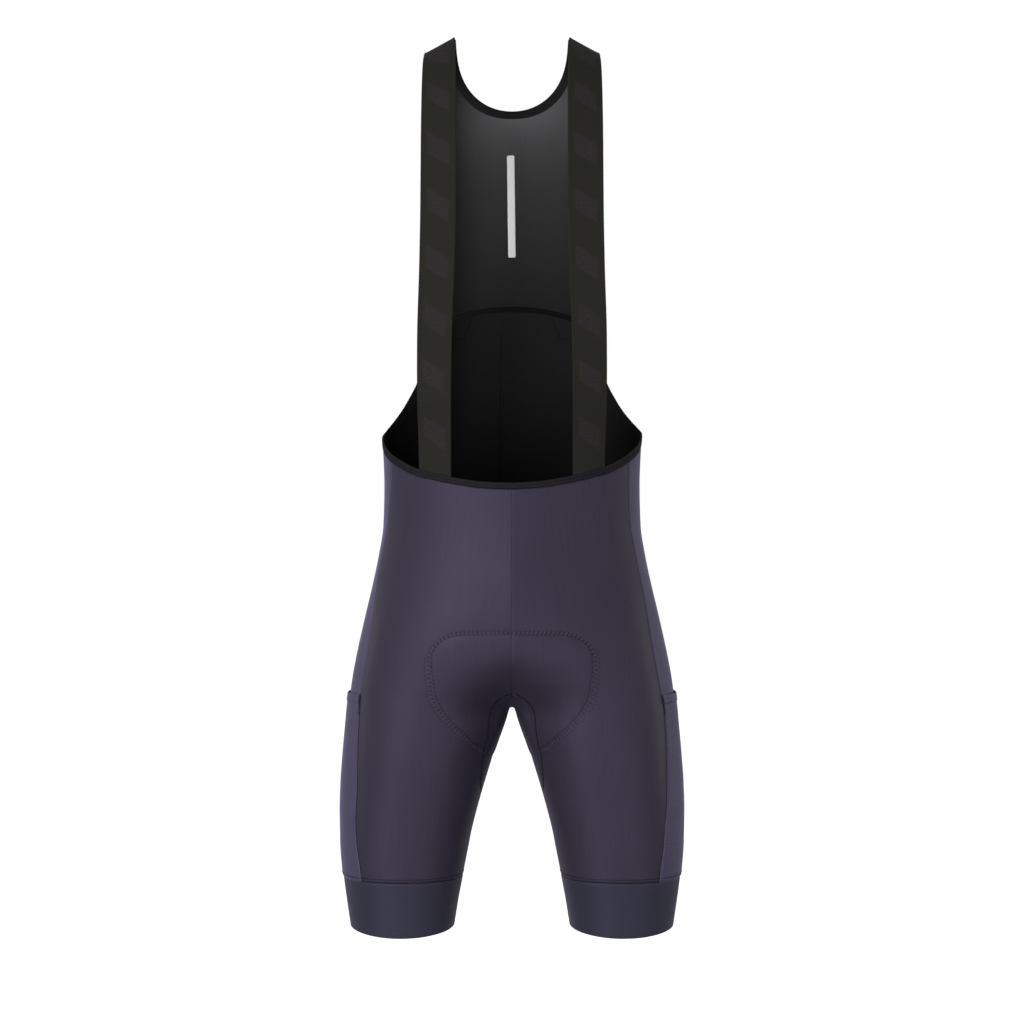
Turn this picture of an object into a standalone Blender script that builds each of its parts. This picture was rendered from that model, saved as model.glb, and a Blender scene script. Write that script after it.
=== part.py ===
"""Cycling bib shorts, standing hollow in the shape they take when worn.

The front faces -Y, the wearer's left is +X and +Z is up. The origin lies midway between the two
shoulder crowns, at the height of the cloth there. Every piece is cut from one surface, which is
read with a turn (degrees round the body: 0 inside leg, 90 front, 180 outer side, 270 back) and a
tape measure (millimetres: the height up to the shoulder blades, then along the cloth over the
shoulder). Sizes are in millimetres until the mesh is made.
"""

import bmesh
import bpy
import numpy as np

MM = 0.001

# Walls and seams
SEAM_GAP = 0.3
SIDE_GAP = 0.45
PANEL_WALL = 1.2
MESH_WALL = 1.0
POCKET_WALL = 1.0
STRAP_WALL = 1.2
GRIPPER_WALL = 1.4
BINDING_WALL = 2.0
BINDING_PROUD = 0.4
BINDING_WIDTH = 8.0
BINDING_CLEAR = 0.5
BAND_WIDTH = 6.5
LABEL_WALL = 1.0
PAD_WALL = 4.0
PAD_CLEAR = 1.7

# Heights of the cross seams
GRIPPER_TOP = -864.0
HEM = -920.0
FORK_TOP = -674.0
TRUNK_TOP = -520.0
YOKE_CENTRE = -500.0
BAND_CENTRE = -267.4
BAND_DROP = 20.0
SHOULDER_BLADES = -120.0
FORK_HIGHEST = -540.0
FORK_LOWEST = -720.0

# Straps, neck and label
STRAP_WIDTH = 36.0
STRAP_X = 74.6
STRAP_CLEAR = 0.6
STRAP_BACK_END = -301.0
STRAP_HEM = -463.0
STRAP_TUCK_TOP = -370.0
STRAP_TUCK_DEPTH = 65.0
STRAP_TURN_OVER = 140.0
NECK_HALF = 59.0
NECK_HEIGHT = -66.0
NECK_SQUARE = 2.15
LABEL_WIDTH = 8.1
LABEL_TOP = -99.0
LABEL_BOTTOM = -211.0
LABEL_X = -0.6

# Points inside the body, which outer faces point away from
TRUNK_CORE = (0.0, 0.0, -400.0)
LEG_MIDDLE = 110.0

# Rounding of the body: how square its sections are, and how cloth bridges the fork
SQUARE = 2.2
FORK_ROUND = 2.0
FORK_FRONT = 12.0
FORK_BACK = 14.0
FORK_TURN = 40.0
FORK_CENTRE = 40.0
GUSSET_EASE = 4

# The front waist stands a little higher on the wearer's left, which fades out round the armhole
EDGE_TILT = 1.8
TILT_END = 230.0
TILT_FADE = 50.0

# Turns between which the cut edge is read by turn, and by tape
FRONT_EDGE_END = 210.0
ARMHOLE_START = 195.0

# Rows and columns of each piece's cage
LEG_ROWS = 13
LEG_ROW_POWER = 1.4
HIP_ROWS = 10
TOP_ROWS = 5
YOKE_ROW = 3
FRONT_COLUMNS = 11
SIDE_COLUMNS = 5
BACK_COLUMNS = 8
LOWER_BACK_ROWS = 15
BAND_ROWS = 2
MESH_COLUMNS = 6
MESH_ROWS = 9
NECK_ROWS = 16
GUSSET_COLUMNS = 8
GRIPPER_ROWS = 4
GRIPPER_COLUMNS = 32
EDGE_POINTS = 64
NECK_POINTS = 24
STRAP_FRONT_ROWS = 26
STRAP_BACK_ROWS = 21
STRAP_ROW_POWER = 1.5
STRAP_LIFT_ROWS = 6
LABEL_ROWS = 7
PAD_ROWS = 8
PAD_COLUMNS = 24

# Rows of a seam that depends on itself settle in this many passes
PASSES = 8
SNAP = 0.06

SECTIONS = (
    ("height", "outer", "centre", "front", "back", "slope"),
    (-920, 168.6, 114.4, 60, 60, 0),
    (-892, 172.4, 114.2, 64, 64, 0),
    (-861, 176.2, 113.3, 69, 69, 0),
    (-829, 178.4, 111.3, 74, 75, 0),
    (-798, 178.6, 107.8, 79, 81, 0),
    (-767, 177.4, 102.8, 84, 87, 0),
    (-735, 174.8, 96.5, 89, 94, 0),
    (-704, 172.0, 89.6, 92, 101, 0),
    (-688, 170.6, 86.3, 93, 106, 0),
    (-674, 169.0, 79.5, 94, 112, 0),
    (-657, 166.7, 66.4, 97, 119, 0),
    (-625, 160.5, 42.8, 102, 125, 0),
    (-594, 153.2, 19.1, 104, 125, 0),
    (-563, 145.7, 3.0, 103, 120, 0),
    (-531, 138.9, 0, 100, 111, 0),
    (-500, 134.2, 0, 98, 101, 0),
    (-460, 133.2, 0, 97, 91, 0),
    (-421, 134.6, 0, 96, 83, 0),
    (-380, 138, 0, 96, 79, 0),
    (-340, 144, 0, 96, 79, 0),
    (-300, 150, 0, 96, 82, 0),
    (-250, 157, 0, 96, 90, 0),
    (-200, 162, 0, 96, 97, 0),
    (-160, 164, 0, 96, 99, 0),
    (-120, 165, 0, 96, 97, 0.02),
    (-80, 165, 0, 96, 92, 0.10),
    (-50, 164, 0, 96, 83, 0.22),
    (-28, 163, 0, 96, 69, 0.36),
    (-12, 161, 0, 96, 48, 0.48),
    (-3, 160, 0, 96, 24, 0.56),
    (0, 160, 0, 96, 0, 0.58),
)

SIDE_SEAM = (
    ("height", "front", "lean", "back"),
    (-920, 125, 1, 232),
    (-858, 127.2, 1.8, 229),
    (-811, 133.1, 2.3, 226),
    (-768, 137.4, 0, 222),
    (-716, 144.8, 0, 216),
    (-691, 146.6, 0.3, 213),
    (-668, 147.9, 2.4, 211),
    (-632, 151.8, 2.6, 208),
    (-590, 156.9, 2.6, 205),
    (-553, 159.5, 4.4, 203),
    (-520, 159.3, 5, 203),
    (-490, 156.8, 4, 203.5),
    (-440, 154.8, 2.5, 204),
    (-400, 154.8, 2.5, 204),
)

GUSSET_SEAM = (
    ("height", "front", "back"),
    (-920, -3, -27),
    (-830, -2, -29),
    (-790, 0, -31),
    (-778, 8, -32),
    (-766, 22.3, -33),
    (-747, 31.7, -34.5),
    (-730, 36.8, -36),
    (-715, 40.4, -38),
    (-702, 43.2, -41),
    (-674, 43.2, -44.8),
)

TOP_EDGE = (
    ("turn", "height"),
    (90, -457),
    (100, -455.7),
    (115.3, -450.4),
    (132.6, -442.2),
    (148.5, -431),
    (165, -418.7),
    (180, -406),
    (190.3, -401.5),
    (201.4, -393.2),
    (209.1, -384.4),
    (214.7, -375.6),
    (219.1, -366.8),
    (225.3, -351.6),
    (230, -335),
    (234.5, -302),
    (237.5, -255),
    (239.3, -200),
    (239.8, -150),
    (239.5, -100),
    (238.8, -50),
    (238.2, -12),
    (238.0, 0),
)

STRAP_FRONT = (
    ("height", "depth", "middle", "roll"),
    (0, 0, 74.6, 30),
    (-3, 22, 74.6, 29),
    (-12, 44, 74.3, 26),
    (-28, 65, 74, 21),
    (-52, 84, 73.6, 15),
    (-85, 98, 73.4, 10),
    (-125, 107, 73.4, 8),
    (-175, 110, 73.6, 7),
    (-240, 105, 75, 8),
    (-310, 97, 77.6, 12),
    (-370, 89, 78.3, 17),
    (-420, 82, 77.8, 23),
    (-463, 80, 77.2, 26),
)

STRAP_BACK = (
    ("height", "middle"),
    (-301, 66),
    (-200, 68),
    (-100, 71.5),
    (0, 74.6),
)

PAD_EDGE = (
    ("turn", "upper", "lower"),
    (-104, -596, -604),
    (-100, -585, -628),
    (-92, -574, -652),
    (-80, -570, -676),
    (-60, -570, -704),
    (-40, -570, -724),
    (-20, -570, -736),
    (0, -600, -741),
    (20, -607, -738),
    (30, -607, -734),
    (45.7, -607, -726),
    (61.8, -607, -713),
    (74.8, -607, -699),
    (87.7, -607, -680),
    (97, -607.5, -662),
    (104, -610, -646),
    (108.5, -620, -630),
)

SHORTS_PURPLE = "4A4657"
SIDE_PURPLE = "524F64"
GRIPPER_PURPLE = "3C3B4B"
STRAP_BLACK = "2D2B2D"
MESH_BLACK = "2B2B2C"
BIB_BLACK = "121213"
BINDING_BLACK = "262629"
LABEL_WHITE = "CBCBCB"
PAD_BLACK = "1B1A1F"


def linear(code):
    """A colour written as sRGB hex, in the linear values that a material takes."""
    values = [int(code[i : i + 2], 16) / 255 for i in (0, 2, 4)]
    return [v / 12.92 if v <= 0.04045 else ((v + 0.055) / 1.055) ** 2.4 for v in values] + [1.0]


class Rows:
    """A table with named columns, read anywhere along its first column on a smooth curve."""

    def __init__(self, table):
        self.names = table[0]
        self.values = np.array(table[1:], dtype=float)
        self.values = self.values[np.argsort(self.values[:, 0], kind="stable")]

    def at(self, name, place):
        x = self.values[:, 0]
        y = self.values[:, self.names.index(name)]
        step = np.diff(x)
        rise = np.diff(y) / step
        same_way = rise[:-1] * rise[1:] > 0
        mean = np.where(same_way, rise[:-1] + rise[1:], 1.0)
        inner = np.where(same_way, 2 * rise[:-1] * rise[1:] / mean, 0.0)
        slope = np.concatenate([rise[:1], inner, rise[-1:]])
        place = np.clip(place, x[0], x[-1])
        i = np.clip(np.searchsorted(x, place) - 1, 0, len(x) - 2)
        t = (place - x[i]) / step[i]
        start = (1 + 2 * t) * (1 - t) ** 2 * y[i] + t * (1 - t) ** 2 * step[i] * slope[i]
        end = t * t * (3 - 2 * t) * y[i + 1] + t * t * (t - 1) * step[i] * slope[i + 1]
        return start + end


def taped(table, depth_name, along_from):
    """The table with a first column that follows the height, and from along_from up the cloth."""
    names = table[0]
    rows = np.array(sorted(table[1:]), dtype=float)
    depth = rows[:, names.index(depth_name)]
    tape = [rows[0, 0]]
    for i in range(1, len(rows)):
        climb = rows[i, 0] - rows[i - 1, 0]
        if rows[i - 1, 0] >= along_from:
            climb = np.hypot(climb, depth[i] - depth[i - 1])
        tape.append(tape[-1] + climb)
    return (("tape",) + names,) + tuple(map(tuple, np.column_stack([tape, rows])))


BODY = Rows(taped(SECTIONS, "back", SHOULDER_BLADES))
SIDES = Rows(SIDE_SEAM)
GUSSET = Rows(GUSSET_SEAM)
STRAPS = Rows(taped(STRAP_FRONT, "depth", SHOULDER_BLADES))
STRAP_LINE = Rows(STRAP_BACK)
PAD = Rows(PAD_EDGE)
CROWN = float(BODY.values[-1, 0])
STRAP_CROWN = float(STRAPS.values[-1, 0])


def smooth(t):
    t = np.clip(t, 0.0, 1.0)
    return t * t * (3 - 2 * t)


def mix(a, b, share):
    return a + (b - a) * share


def signed_power(value, power):
    return np.sign(value) * np.abs(value) ** power


def fork_web(turn, centre):
    """Radius with which the cloth bridges the fork between the two halves."""
    wrapped = (np.asarray(turn, dtype=float) + 180) % 360 - 180
    widest = np.where(wrapped > 0, FORK_FRONT, FORK_BACK)
    web = mix(FORK_ROUND, widest, smooth(np.abs(wrapped) / FORK_TURN))
    return web * smooth(centre / FORK_CENTRE)


def reach(turn, tape):
    """Distance from the middle plane before the fork is rounded."""
    outer = BODY.at("outer", tape)
    centre = BODY.at("centre", tape)
    return centre - (outer - centre) * signed_power(np.cos(np.radians(turn)), 2 / SQUARE)


def surface(turn, tape):
    """Points of the cloth's outer face on the wearer's left half."""
    turn, tape = np.broadcast_arrays(np.asarray(turn, dtype=float), tape)
    out = reach(turn, tape)
    web = fork_web(turn, BODY.at("centre", tape))
    x = np.sign(out) * np.sqrt(np.maximum(out**2 - web**2, 0.0))
    sine = np.sin(np.radians(turn))
    half_depth = np.where(sine > 0, -BODY.at("front", tape), BODY.at("back", tape))
    y = half_depth * np.abs(sine) ** (2 / SQUARE)
    z = BODY.at("height", tape) - BODY.at("slope", tape) * (x - STRAP_X)
    return np.stack([x, y, z], axis=-1)


def tape_at(height):
    tapes = np.linspace(HEM, CROWN, 2000)
    return np.interp(height, BODY.at("height", tapes), tapes)


def back_turn(x, tape):
    """Turn of a point of the back at a distance x from the middle."""
    share = np.clip(x / BODY.at("outer", tape), -1, 1)
    return 180 + np.degrees(np.arccos(signed_power(share, SQUARE / 2)))


def middle_turn(tape, back):
    """Turn at which the front or the back of one half meets the middle plane."""
    centre = BODY.at("centre", tape)
    web = fork_web(-90.0 if back else 90.0, centre)
    share = np.clip((centre - web) / (BODY.at("outer", tape) - centre), 0, 1)
    angle = np.degrees(np.arccos(share ** (SQUARE / 2)))
    angle = np.where(centre > 0.01, angle, 90.0)
    return 360 - angle if back else angle


def fork_height(turn):
    """Height of the middle line under the fork, for each turn from front to back."""
    low = np.full(np.shape(turn), FORK_LOWEST)
    high = np.full(np.shape(turn), FORK_HIGHEST)
    for _ in range(40):
        middle = (low + high) / 2
        outside = reach(turn, middle) > fork_web(turn, BODY.at("centre", middle))
        low = np.where(outside, middle, low)
        high = np.where(outside, high, middle)
    return (low + high) / 2


def curve_points(table, count):
    """A seam given as rows of turn and height, as even samples of turn and tape."""
    rows = np.array(table[1:], dtype=float)
    rows = np.column_stack([rows[:, 0], tape_at(rows[:, 1])])
    along = np.arange(len(rows))
    turn = Rows((("row", "turn"),) + tuple(zip(along, rows[:, 0])))
    tape = Rows((("row", "tape"),) + tuple(zip(along, rows[:, 1])))
    fine = np.linspace(0, along[-1], 600)
    points = surface(turn.at("turn", fine), tape.at("tape", fine))
    length = np.concatenate([[0], np.cumsum(np.linalg.norm(np.diff(points, axis=0), axis=1))])
    even = np.interp(np.linspace(0, length[-1], count), length, fine)
    return turn.at("turn", even), tape.at("tape", even)


def inset(turn, tape, distance, keep_ends=True):
    """The seam moved into the cloth by a distance, square to itself."""
    step = 0.2
    point = surface(turn, tape)
    per_turn = (surface(turn + step, tape) - surface(turn - step, tape)) / (2 * step)
    per_tape = (surface(turn, tape + step) - surface(turn, tape - step)) / (2 * step)
    along = np.gradient(point, axis=0)
    face = np.cross(per_turn, per_tape)
    inward = np.cross(along, face)
    inward *= distance / np.linalg.norm(inward, axis=1)[:, None]
    if keep_ends:
        inward[0, 0] = inward[-1, 0] = 0.0
    d_turn = (inward * per_turn).sum(1) / (per_turn**2).sum(1)
    d_tape = (inward * per_tape).sum(1) / (per_tape**2).sum(1)
    return turn + d_turn, tape + d_tape


def top_edge(side, count=160):
    """The cut edge, from the middle of the front waist round the armhole to the crown."""
    turn, tape = curve_points(TOP_EDGE, count)
    lean = -np.cos(np.radians(turn)) * smooth((TILT_END - turn) / TILT_FADE)
    return turn, tape + side * EDGE_TILT * lean


def neck_edge(count=60):
    """The neck scoop, from the shoulder crown down to the middle of the back."""
    around = np.radians(np.linspace(0, 90, 400))
    x = NECK_HALF * np.cos(around) ** (2 / NECK_SQUARE)
    tape = tape_at(NECK_HEIGHT * np.sin(around) ** (2 / NECK_SQUARE))
    points = np.column_stack([x, tape])
    length = np.concatenate([[0], np.cumsum(np.linalg.norm(np.diff(points, axis=0), axis=1))])
    even = np.linspace(0, length[-1], count)
    x, tape = np.interp(even, length, x), np.interp(even, length, tape)
    return back_turn(x, tape), tape


# Cages: arrays of points, rows by columns


def trimmed(grid, bottom=0.0, top=0.0, first=0.0, last=0.0):
    """The grid with its outer rows and columns drawn in, to leave the gap of a seam."""
    grid = grid.copy()
    for index, towards, gap in ((0, 1, bottom), (-1, -2, top)):
        if gap:
            way = grid[towards] - grid[index]
            grid[index] += way * gap / np.linalg.norm(way, axis=-1, keepdims=True)
    for index, towards, gap in ((0, 1, first), (-1, -2, last)):
        if gap:
            way = grid[:, towards] - grid[:, index]
            grid[:, index] += way * gap / np.linalg.norm(way, axis=-1, keepdims=True)
    return grid


def normals(grid, core, ring=False):
    """Directions square to the grid, pointing away from the core point."""
    if ring:
        closed = np.concatenate([grid[:, -2:-1], grid, grid[:, 1:2]], axis=1)
        across = (closed[:, 2:] - closed[:, :-2]) / 2
    else:
        across = np.gradient(grid, axis=1)
    square = np.cross(np.gradient(grid, axis=0), across)
    square /= np.linalg.norm(square, axis=-1, keepdims=True)
    middle = grid[grid.shape[0] // 2, grid.shape[1] // 2]
    facing = square[grid.shape[0] // 2, grid.shape[1] // 2]
    return square if np.dot(middle - core, facing) > 0 else -square


def lifted(grid, core, distance, mirrored_row=None):
    way = normals(grid, core)
    if mirrored_row is not None:
        way[mirrored_row, :, 0] = 0.0
        way /= np.linalg.norm(way, axis=-1, keepdims=True)
    return grid + way * distance


def side_seam(side, edge, tape):
    """Turn of a side seam on one half, with the way the shorts sit turned on the hips."""
    return SIDES.at(edge, tape) - side * SIDES.at("lean", tape)


def leg_tapes():
    share = np.linspace(0, 1, LEG_ROWS + 1) ** LEG_ROW_POWER
    return mix(FORK_TOP, GRIPPER_TOP, share)[::-1]


def hip_tapes():
    return np.linspace(FORK_TOP, TRUNK_TOP, HIP_ROWS + 1)[1:]


def front_start(tape):
    return np.where(tape > FORK_TOP + 0.01, middle_turn(tape, back=False), GUSSET.at("front", tape))


def back_end(tape):
    middle = middle_turn(tape, back=True)
    return np.where(tape > FORK_TOP + 0.01, middle, 360 + GUSSET.at("back", tape))


def panel_grid(start, end, columns, top):
    """Rows from the gripper up to a top seam. start and end give turns for an array of tapes, and
    top gives the tape of the top seam for an array of turns."""
    share = np.linspace(0, 1, columns + 1)
    tapes = np.concatenate([leg_tapes(), hip_tapes()])
    rows = [surface(mix(start(t), end(t), share), t) for t in tapes]
    for k in range(1, TOP_ROWS + 1):
        tape = np.full(columns + 1, TRUNK_TOP)
        for _ in range(PASSES):
            turn = mix(start(tape), end(tape), share)
            tape = mix(TRUNK_TOP, top(turn), k / TOP_ROWS)
        rows.append(surface(turn, tape))
    return np.array(rows)


def edge_top(side):
    turn, tape = top_edge(side)
    turn, tape = inset(turn, tape, BINDING_WIDTH + BINDING_CLEAR)
    front = turn < FRONT_EDGE_END
    return lambda at: np.interp(at, turn[front], tape[front])


def yoke(side):
    """Seam between the shorts' back panels and the bib. It starts at a row of the side panel."""
    seam = side_seam(side, "back", TRUNK_TOP)
    start = mix(TRUNK_TOP, edge_top(side)(seam), YOKE_ROW / TOP_ROWS)
    return lambda at: mix(start, YOKE_CENTRE, smooth((at - seam) / (270 - seam)))


def sided(grid, side):
    return grid * np.array([side, 1.0, 1.0])


# Blender objects


def material(name, code, roughness):
    made = bpy.data.materials.new(name)
    made.use_nodes = True
    shader = made.node_tree.nodes["Principled BSDF"]
    shader.inputs["Base Color"].default_value = linear(code)
    shader.inputs["Roughness"].default_value = roughness
    shader.inputs["Metallic"].default_value = 0.0
    made.diffuse_color = linear(code)
    return made


def cloth(name, grid, core, wall, code, outward=False, ring=False, mirror=False, roughness=0.8):
    """A sheet of cloth: a flat grid bent onto the points, given a wall by Solidify."""
    rows, columns = grid.shape[0] - 1, grid.shape[1] - 1
    mesh = bpy.data.meshes.new(name)
    sheet = bmesh.new()
    bmesh.ops.create_grid(sheet, x_segments=columns, y_segments=rows, size=1.0)
    sheet.verts.ensure_lookup_table()
    for vertex, point in zip(sheet.verts, grid.reshape(-1, 3)):
        vertex.co = point * MM
        if mirror and abs(vertex.co.x) < SNAP * MM:
            vertex.co.x = 0.0
    sheet.normal_update()
    sheet.faces.ensure_lookup_table()
    face = sheet.faces[len(sheet.faces) // 2 + columns // 2]
    away = face.calc_center_median() / MM
    if face.normal.dot(away - type(away)(core)) < 0:
        bmesh.ops.reverse_faces(sheet, faces=sheet.faces)
    if ring:
        bmesh.ops.remove_doubles(sheet, verts=sheet.verts, dist=0.01 * MM)
    sheet.to_mesh(mesh)
    sheet.free()
    made = bpy.data.objects.new(name, mesh)
    garment.objects.link(made)
    made.data.materials.append(material(name, code, roughness))
    if mirror:
        other_half = made.modifiers.new("Other half", "MIRROR")
        other_half.use_axis = (True, False, False)
        other_half.merge_threshold = 0.00005
    thickness = made.modifiers.new("Wall", "SOLIDIFY")
    thickness.thickness = wall * MM
    thickness.offset = 1.0 if outward else -1.0
    thickness.use_even_offset = True
    made.data.shade_smooth()
    return made


def side_name(side):
    return "left" if side > 0 else "right"


def leg_core(side, height):
    """A point inside one leg, which the outer faces of its cloth point away from."""
    return np.array([side * LEG_MIDDLE, 0.0, height])


def front_panels():
    for side in (1, -1):
        seam = lambda tape, side=side: side_seam(side, "front", tape)
        grid = panel_grid(front_start, seam, FRONT_COLUMNS, edge_top(side))
        grid = trimmed(sided(grid, side), bottom=SEAM_GAP / 2, first=SIDE_GAP / 2, last=SIDE_GAP / 2)
        name = "front_panel_" + side_name(side)
        cloth(name, grid, TRUNK_CORE, PANEL_WALL, SHORTS_PURPLE, roughness=0.62)


def side_grid(side):
    start = lambda tape: side_seam(side, "front", tape)
    end = lambda tape: side_seam(side, "back", tape)
    return sided(panel_grid(start, end, SIDE_COLUMNS, edge_top(side)), side)


def side_panels():
    for side in (1, -1):
        gaps = {"bottom": SEAM_GAP / 2, "first": SIDE_GAP / 2, "last": SIDE_GAP / 2}
        grid = trimmed(side_grid(side), **gaps)
        name = side_name(side)
        cloth("side_panel_" + name, grid, TRUNK_CORE, PANEL_WALL, SIDE_PURPLE, roughness=0.7)
        pocket = trimmed(side_grid(side)[: LEG_ROWS + 1], **gaps)
        pocket = lifted(pocket, TRUNK_CORE, SEAM_GAP)
        cloth("side_pocket_" + name, pocket, TRUNK_CORE, POCKET_WALL, SIDE_PURPLE, outward=True)


def back_panels():
    for side in (1, -1):
        seam = lambda tape, side=side: side_seam(side, "back", tape)
        share = np.linspace(0, 1, BACK_COLUMNS + 1)
        full = panel_grid(seam, back_end, BACK_COLUMNS, edge_top(side))[: LEG_ROWS + HIP_ROWS + 1]
        rows = []
        for k in range(1, YOKE_ROW + 1):
            tape = np.full(BACK_COLUMNS + 1, TRUNK_TOP)
            for _ in range(PASSES):
                turn = mix(seam(tape), 270.0, share)
                tape = mix(TRUNK_TOP, yoke(side)(turn), k / YOKE_ROW)
            rows.append(surface(turn, tape))
        grid = np.concatenate([full, np.array(rows)])
        cross, along = SEAM_GAP / 2, SIDE_GAP / 2
        grid = trimmed(sided(grid, side), bottom=cross, top=cross, first=along, last=along)
        name = "back_panel_" + side_name(side)
        cloth(name, grid, TRUNK_CORE, PANEL_WALL, SHORTS_PURPLE, roughness=0.62)


def gusset_turn(tape, share):
    return mix(GUSSET.at("front", tape), GUSSET.at("back", tape), share)


def inner_gusset():
    """Rows from the middle line under the fork down the inside of one leg to the gripper."""
    share = np.linspace(0, 1, GUSSET_COLUMNS + 1)
    middle = gusset_turn(FORK_TOP, share)
    first = fork_height(middle)
    first[0] = first[-1] = FORK_TOP
    rows = []
    for down in np.linspace(0, 1, LEG_ROWS + 1) ** LEG_ROW_POWER:
        tape = mix(first, GRIPPER_TOP, down)
        ease = (middle - gusset_turn(first, share)) * (1 - down) ** GUSSET_EASE
        rows.append(surface(gusset_turn(tape, share) + ease, tape))
    rows[0][:, 0] = 0.0
    grid = trimmed(np.array(rows), top=SEAM_GAP / 2, first=SIDE_GAP / 2, last=SIDE_GAP / 2)
    core = leg_core(1, FORK_TOP)
    cloth("inner_gusset", grid, core, PANEL_WALL, SHORTS_PURPLE, mirror=True, roughness=0.66)


def leg_grippers():
    tapes = np.linspace(HEM, GRIPPER_TOP - SEAM_GAP / 2, GRIPPER_ROWS + 1)
    turns = np.linspace(0, 360, GRIPPER_COLUMNS + 1)
    for side in (1, -1):
        grid = sided(np.array([surface(turns, tape) for tape in tapes]), side)
        name = "leg_gripper_" + side_name(side)
        core = leg_core(side, (HEM + GRIPPER_TOP) / 2)
        cloth(name, grid, core, GRIPPER_WALL, GRIPPER_PURPLE, ring=True, roughness=0.72)


def band_tape(share, offset):
    """Tape of the arched seam below the mesh, for each share of the way from middle to edge."""
    return BAND_CENTRE + offset - BAND_DROP * share**2


def armhole_turn(side):
    turn, tape = top_edge(side)
    turn, tape = inset(turn, tape, BINDING_WIDTH + BINDING_CLEAR)
    back = turn > ARMHOLE_START
    return lambda at: np.interp(at, tape[back], turn[back])


def neck_seam(count):
    """The edge of the mesh below the neck binding, from the middle up to the crown."""
    turn, tape = neck_edge(count)
    turn, tape = inset(turn, tape, BINDING_WIDTH + BINDING_CLEAR, keep_ends=False)
    turn[-1], tape[0] = 270.0, CROWN
    return turn[::-1], tape[::-1]


def back_rows(side, shares, low, high, rows):
    """Rows of the back between two cross seams, from the middle out to the armhole."""
    armhole = armhole_turn(side)
    made = []
    for k in range(rows + 1):
        tape = np.full(len(shares), BAND_CENTRE)
        for _ in range(PASSES):
            seam = side_seam(side, "back", tape)
            turn = mix(270.0, np.maximum(armhole(tape), seam), shares)
            tape = mix(low(turn, shares), high(turn, shares), k / rows)
        made.append(surface(turn, tape))
    return np.array(made)


def both_halves(make):
    """A grid across the whole back, from the halves that make gives for each side."""
    left, right = make(1), sided(make(-1), -1)
    return np.concatenate([right[:, :0:-1], left], axis=1)


def lower_back():
    shares = np.linspace(0, 1, BACK_COLUMNS + 1)

    def half(side):
        seam = yoke(side)
        low = lambda turn, share: seam(turn)
        high = lambda turn, share: band_tape(share, -BAND_WIDTH / 2)
        return back_rows(side, shares, low, high, LOWER_BACK_ROWS)

    gaps = {"bottom": SEAM_GAP / 2, "top": SEAM_GAP, "first": SIDE_GAP / 2, "last": SIDE_GAP / 2}
    grid = trimmed(both_halves(half), **gaps)
    cloth("lower_back_bib", grid, TRUNK_CORE, PANEL_WALL, BIB_BLACK, roughness=0.75)


def back_seam_band():
    shares = np.linspace(0, 1, BACK_COLUMNS + 1)

    def half(side):
        low = lambda turn, share: band_tape(share, -BAND_WIDTH / 2)
        high = lambda turn, share: band_tape(share, BAND_WIDTH / 2)
        return back_rows(side, shares, low, high, BAND_ROWS)

    grid = trimmed(both_halves(half), first=SEAM_GAP / 2, last=SEAM_GAP / 2)
    grid = lifted(grid, TRUNK_CORE, BINDING_PROUD)
    cloth("back_seam_band", grid, TRUNK_CORE, BINDING_WALL, BINDING_BLACK)


def upper_back_mesh():
    """The mesh back: a sheet up to the neck, then a tab up to each shoulder crown."""
    shares = np.linspace(0, 1, MESH_COLUMNS + 1)
    armhole = armhole_turn(1)
    neck_turns, neck_tapes = neck_seam(NECK_ROWS)
    low = lambda turn, share: band_tape(share, BAND_WIDTH / 2)
    high = lambda turn, share: np.full(len(share), neck_tapes[0])
    grid = back_rows(1, shares, low, high, MESH_ROWS)
    tabs = zip(neck_turns[1:], neck_tapes[1:])
    rows = [surface(mix(turn, armhole(tape), shares), tape) for turn, tape in tabs]
    grid = np.concatenate([grid, np.array(rows)])
    grid = trimmed(grid, bottom=SEAM_GAP, last=SEAM_GAP / 2)
    cloth("upper_back_mesh", grid, TRUNK_CORE, MESH_WALL, MESH_BLACK, mirror=True, roughness=0.85)


def binding_strip(turn, tape):
    """Three lines of points, from a cut edge into the cloth, as wide as the binding."""
    lines = [inset(turn, tape, BINDING_WIDTH * k / 2) for k in range(3)]
    return np.array([surface(*line) for line in lines])


def edge_binding():
    """One binding round the armhole, across the front waist and up the other armhole."""

    def half(side):
        return binding_strip(*top_edge(side, EDGE_POINTS))

    grid = lifted(both_halves(half), TRUNK_CORE, BINDING_PROUD)
    cloth("edge_binding", grid, TRUNK_CORE, BINDING_WALL, BINDING_BLACK)


def neck_binding():
    half = binding_strip(*neck_edge(NECK_POINTS))
    grid = np.concatenate([half, sided(half, -1)[:, -2::-1]], axis=1)
    grid = lifted(grid, TRUNK_CORE, BINDING_PROUD)
    cloth("neck_binding", grid, TRUNK_CORE, BINDING_WALL, BINDING_BLACK)


def strap_front(tape, across):
    """One row of a strap between the front waist and the shoulder crown."""
    roll = np.radians(STRAPS.at("roll", tape))
    x = STRAPS.at("middle", tape) + across * np.cos(roll)
    turned_over = smooth(1 + (tape - STRAP_CROWN) / STRAP_TURN_OVER)
    y = -STRAPS.at("depth", tape) + across * np.sin(roll) * (1 - turned_over)
    z = STRAPS.at("height", tape) - across * np.sin(roll) * turned_over
    under_binding = BINDING_WALL - BINDING_PROUD + STRAP_CLEAR + STRAP_WALL
    waist = surface(360 - back_turn(x, tape), tape)[:, 1] + under_binding / np.cos(roll)
    tucked = smooth((STRAP_TUCK_TOP - tape) / STRAP_TUCK_DEPTH)
    return np.column_stack([x, mix(y, waist, tucked), z])


def strap_back(tape, across):
    """One row of a strap where it lies on the outside of the mesh."""
    roll = np.arctan(BODY.at("slope", tape))
    x = STRAP_LINE.at("middle", BODY.at("height", tape)) + across * np.cos(roll)
    return surface(back_turn(x, tape), tape)


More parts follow.
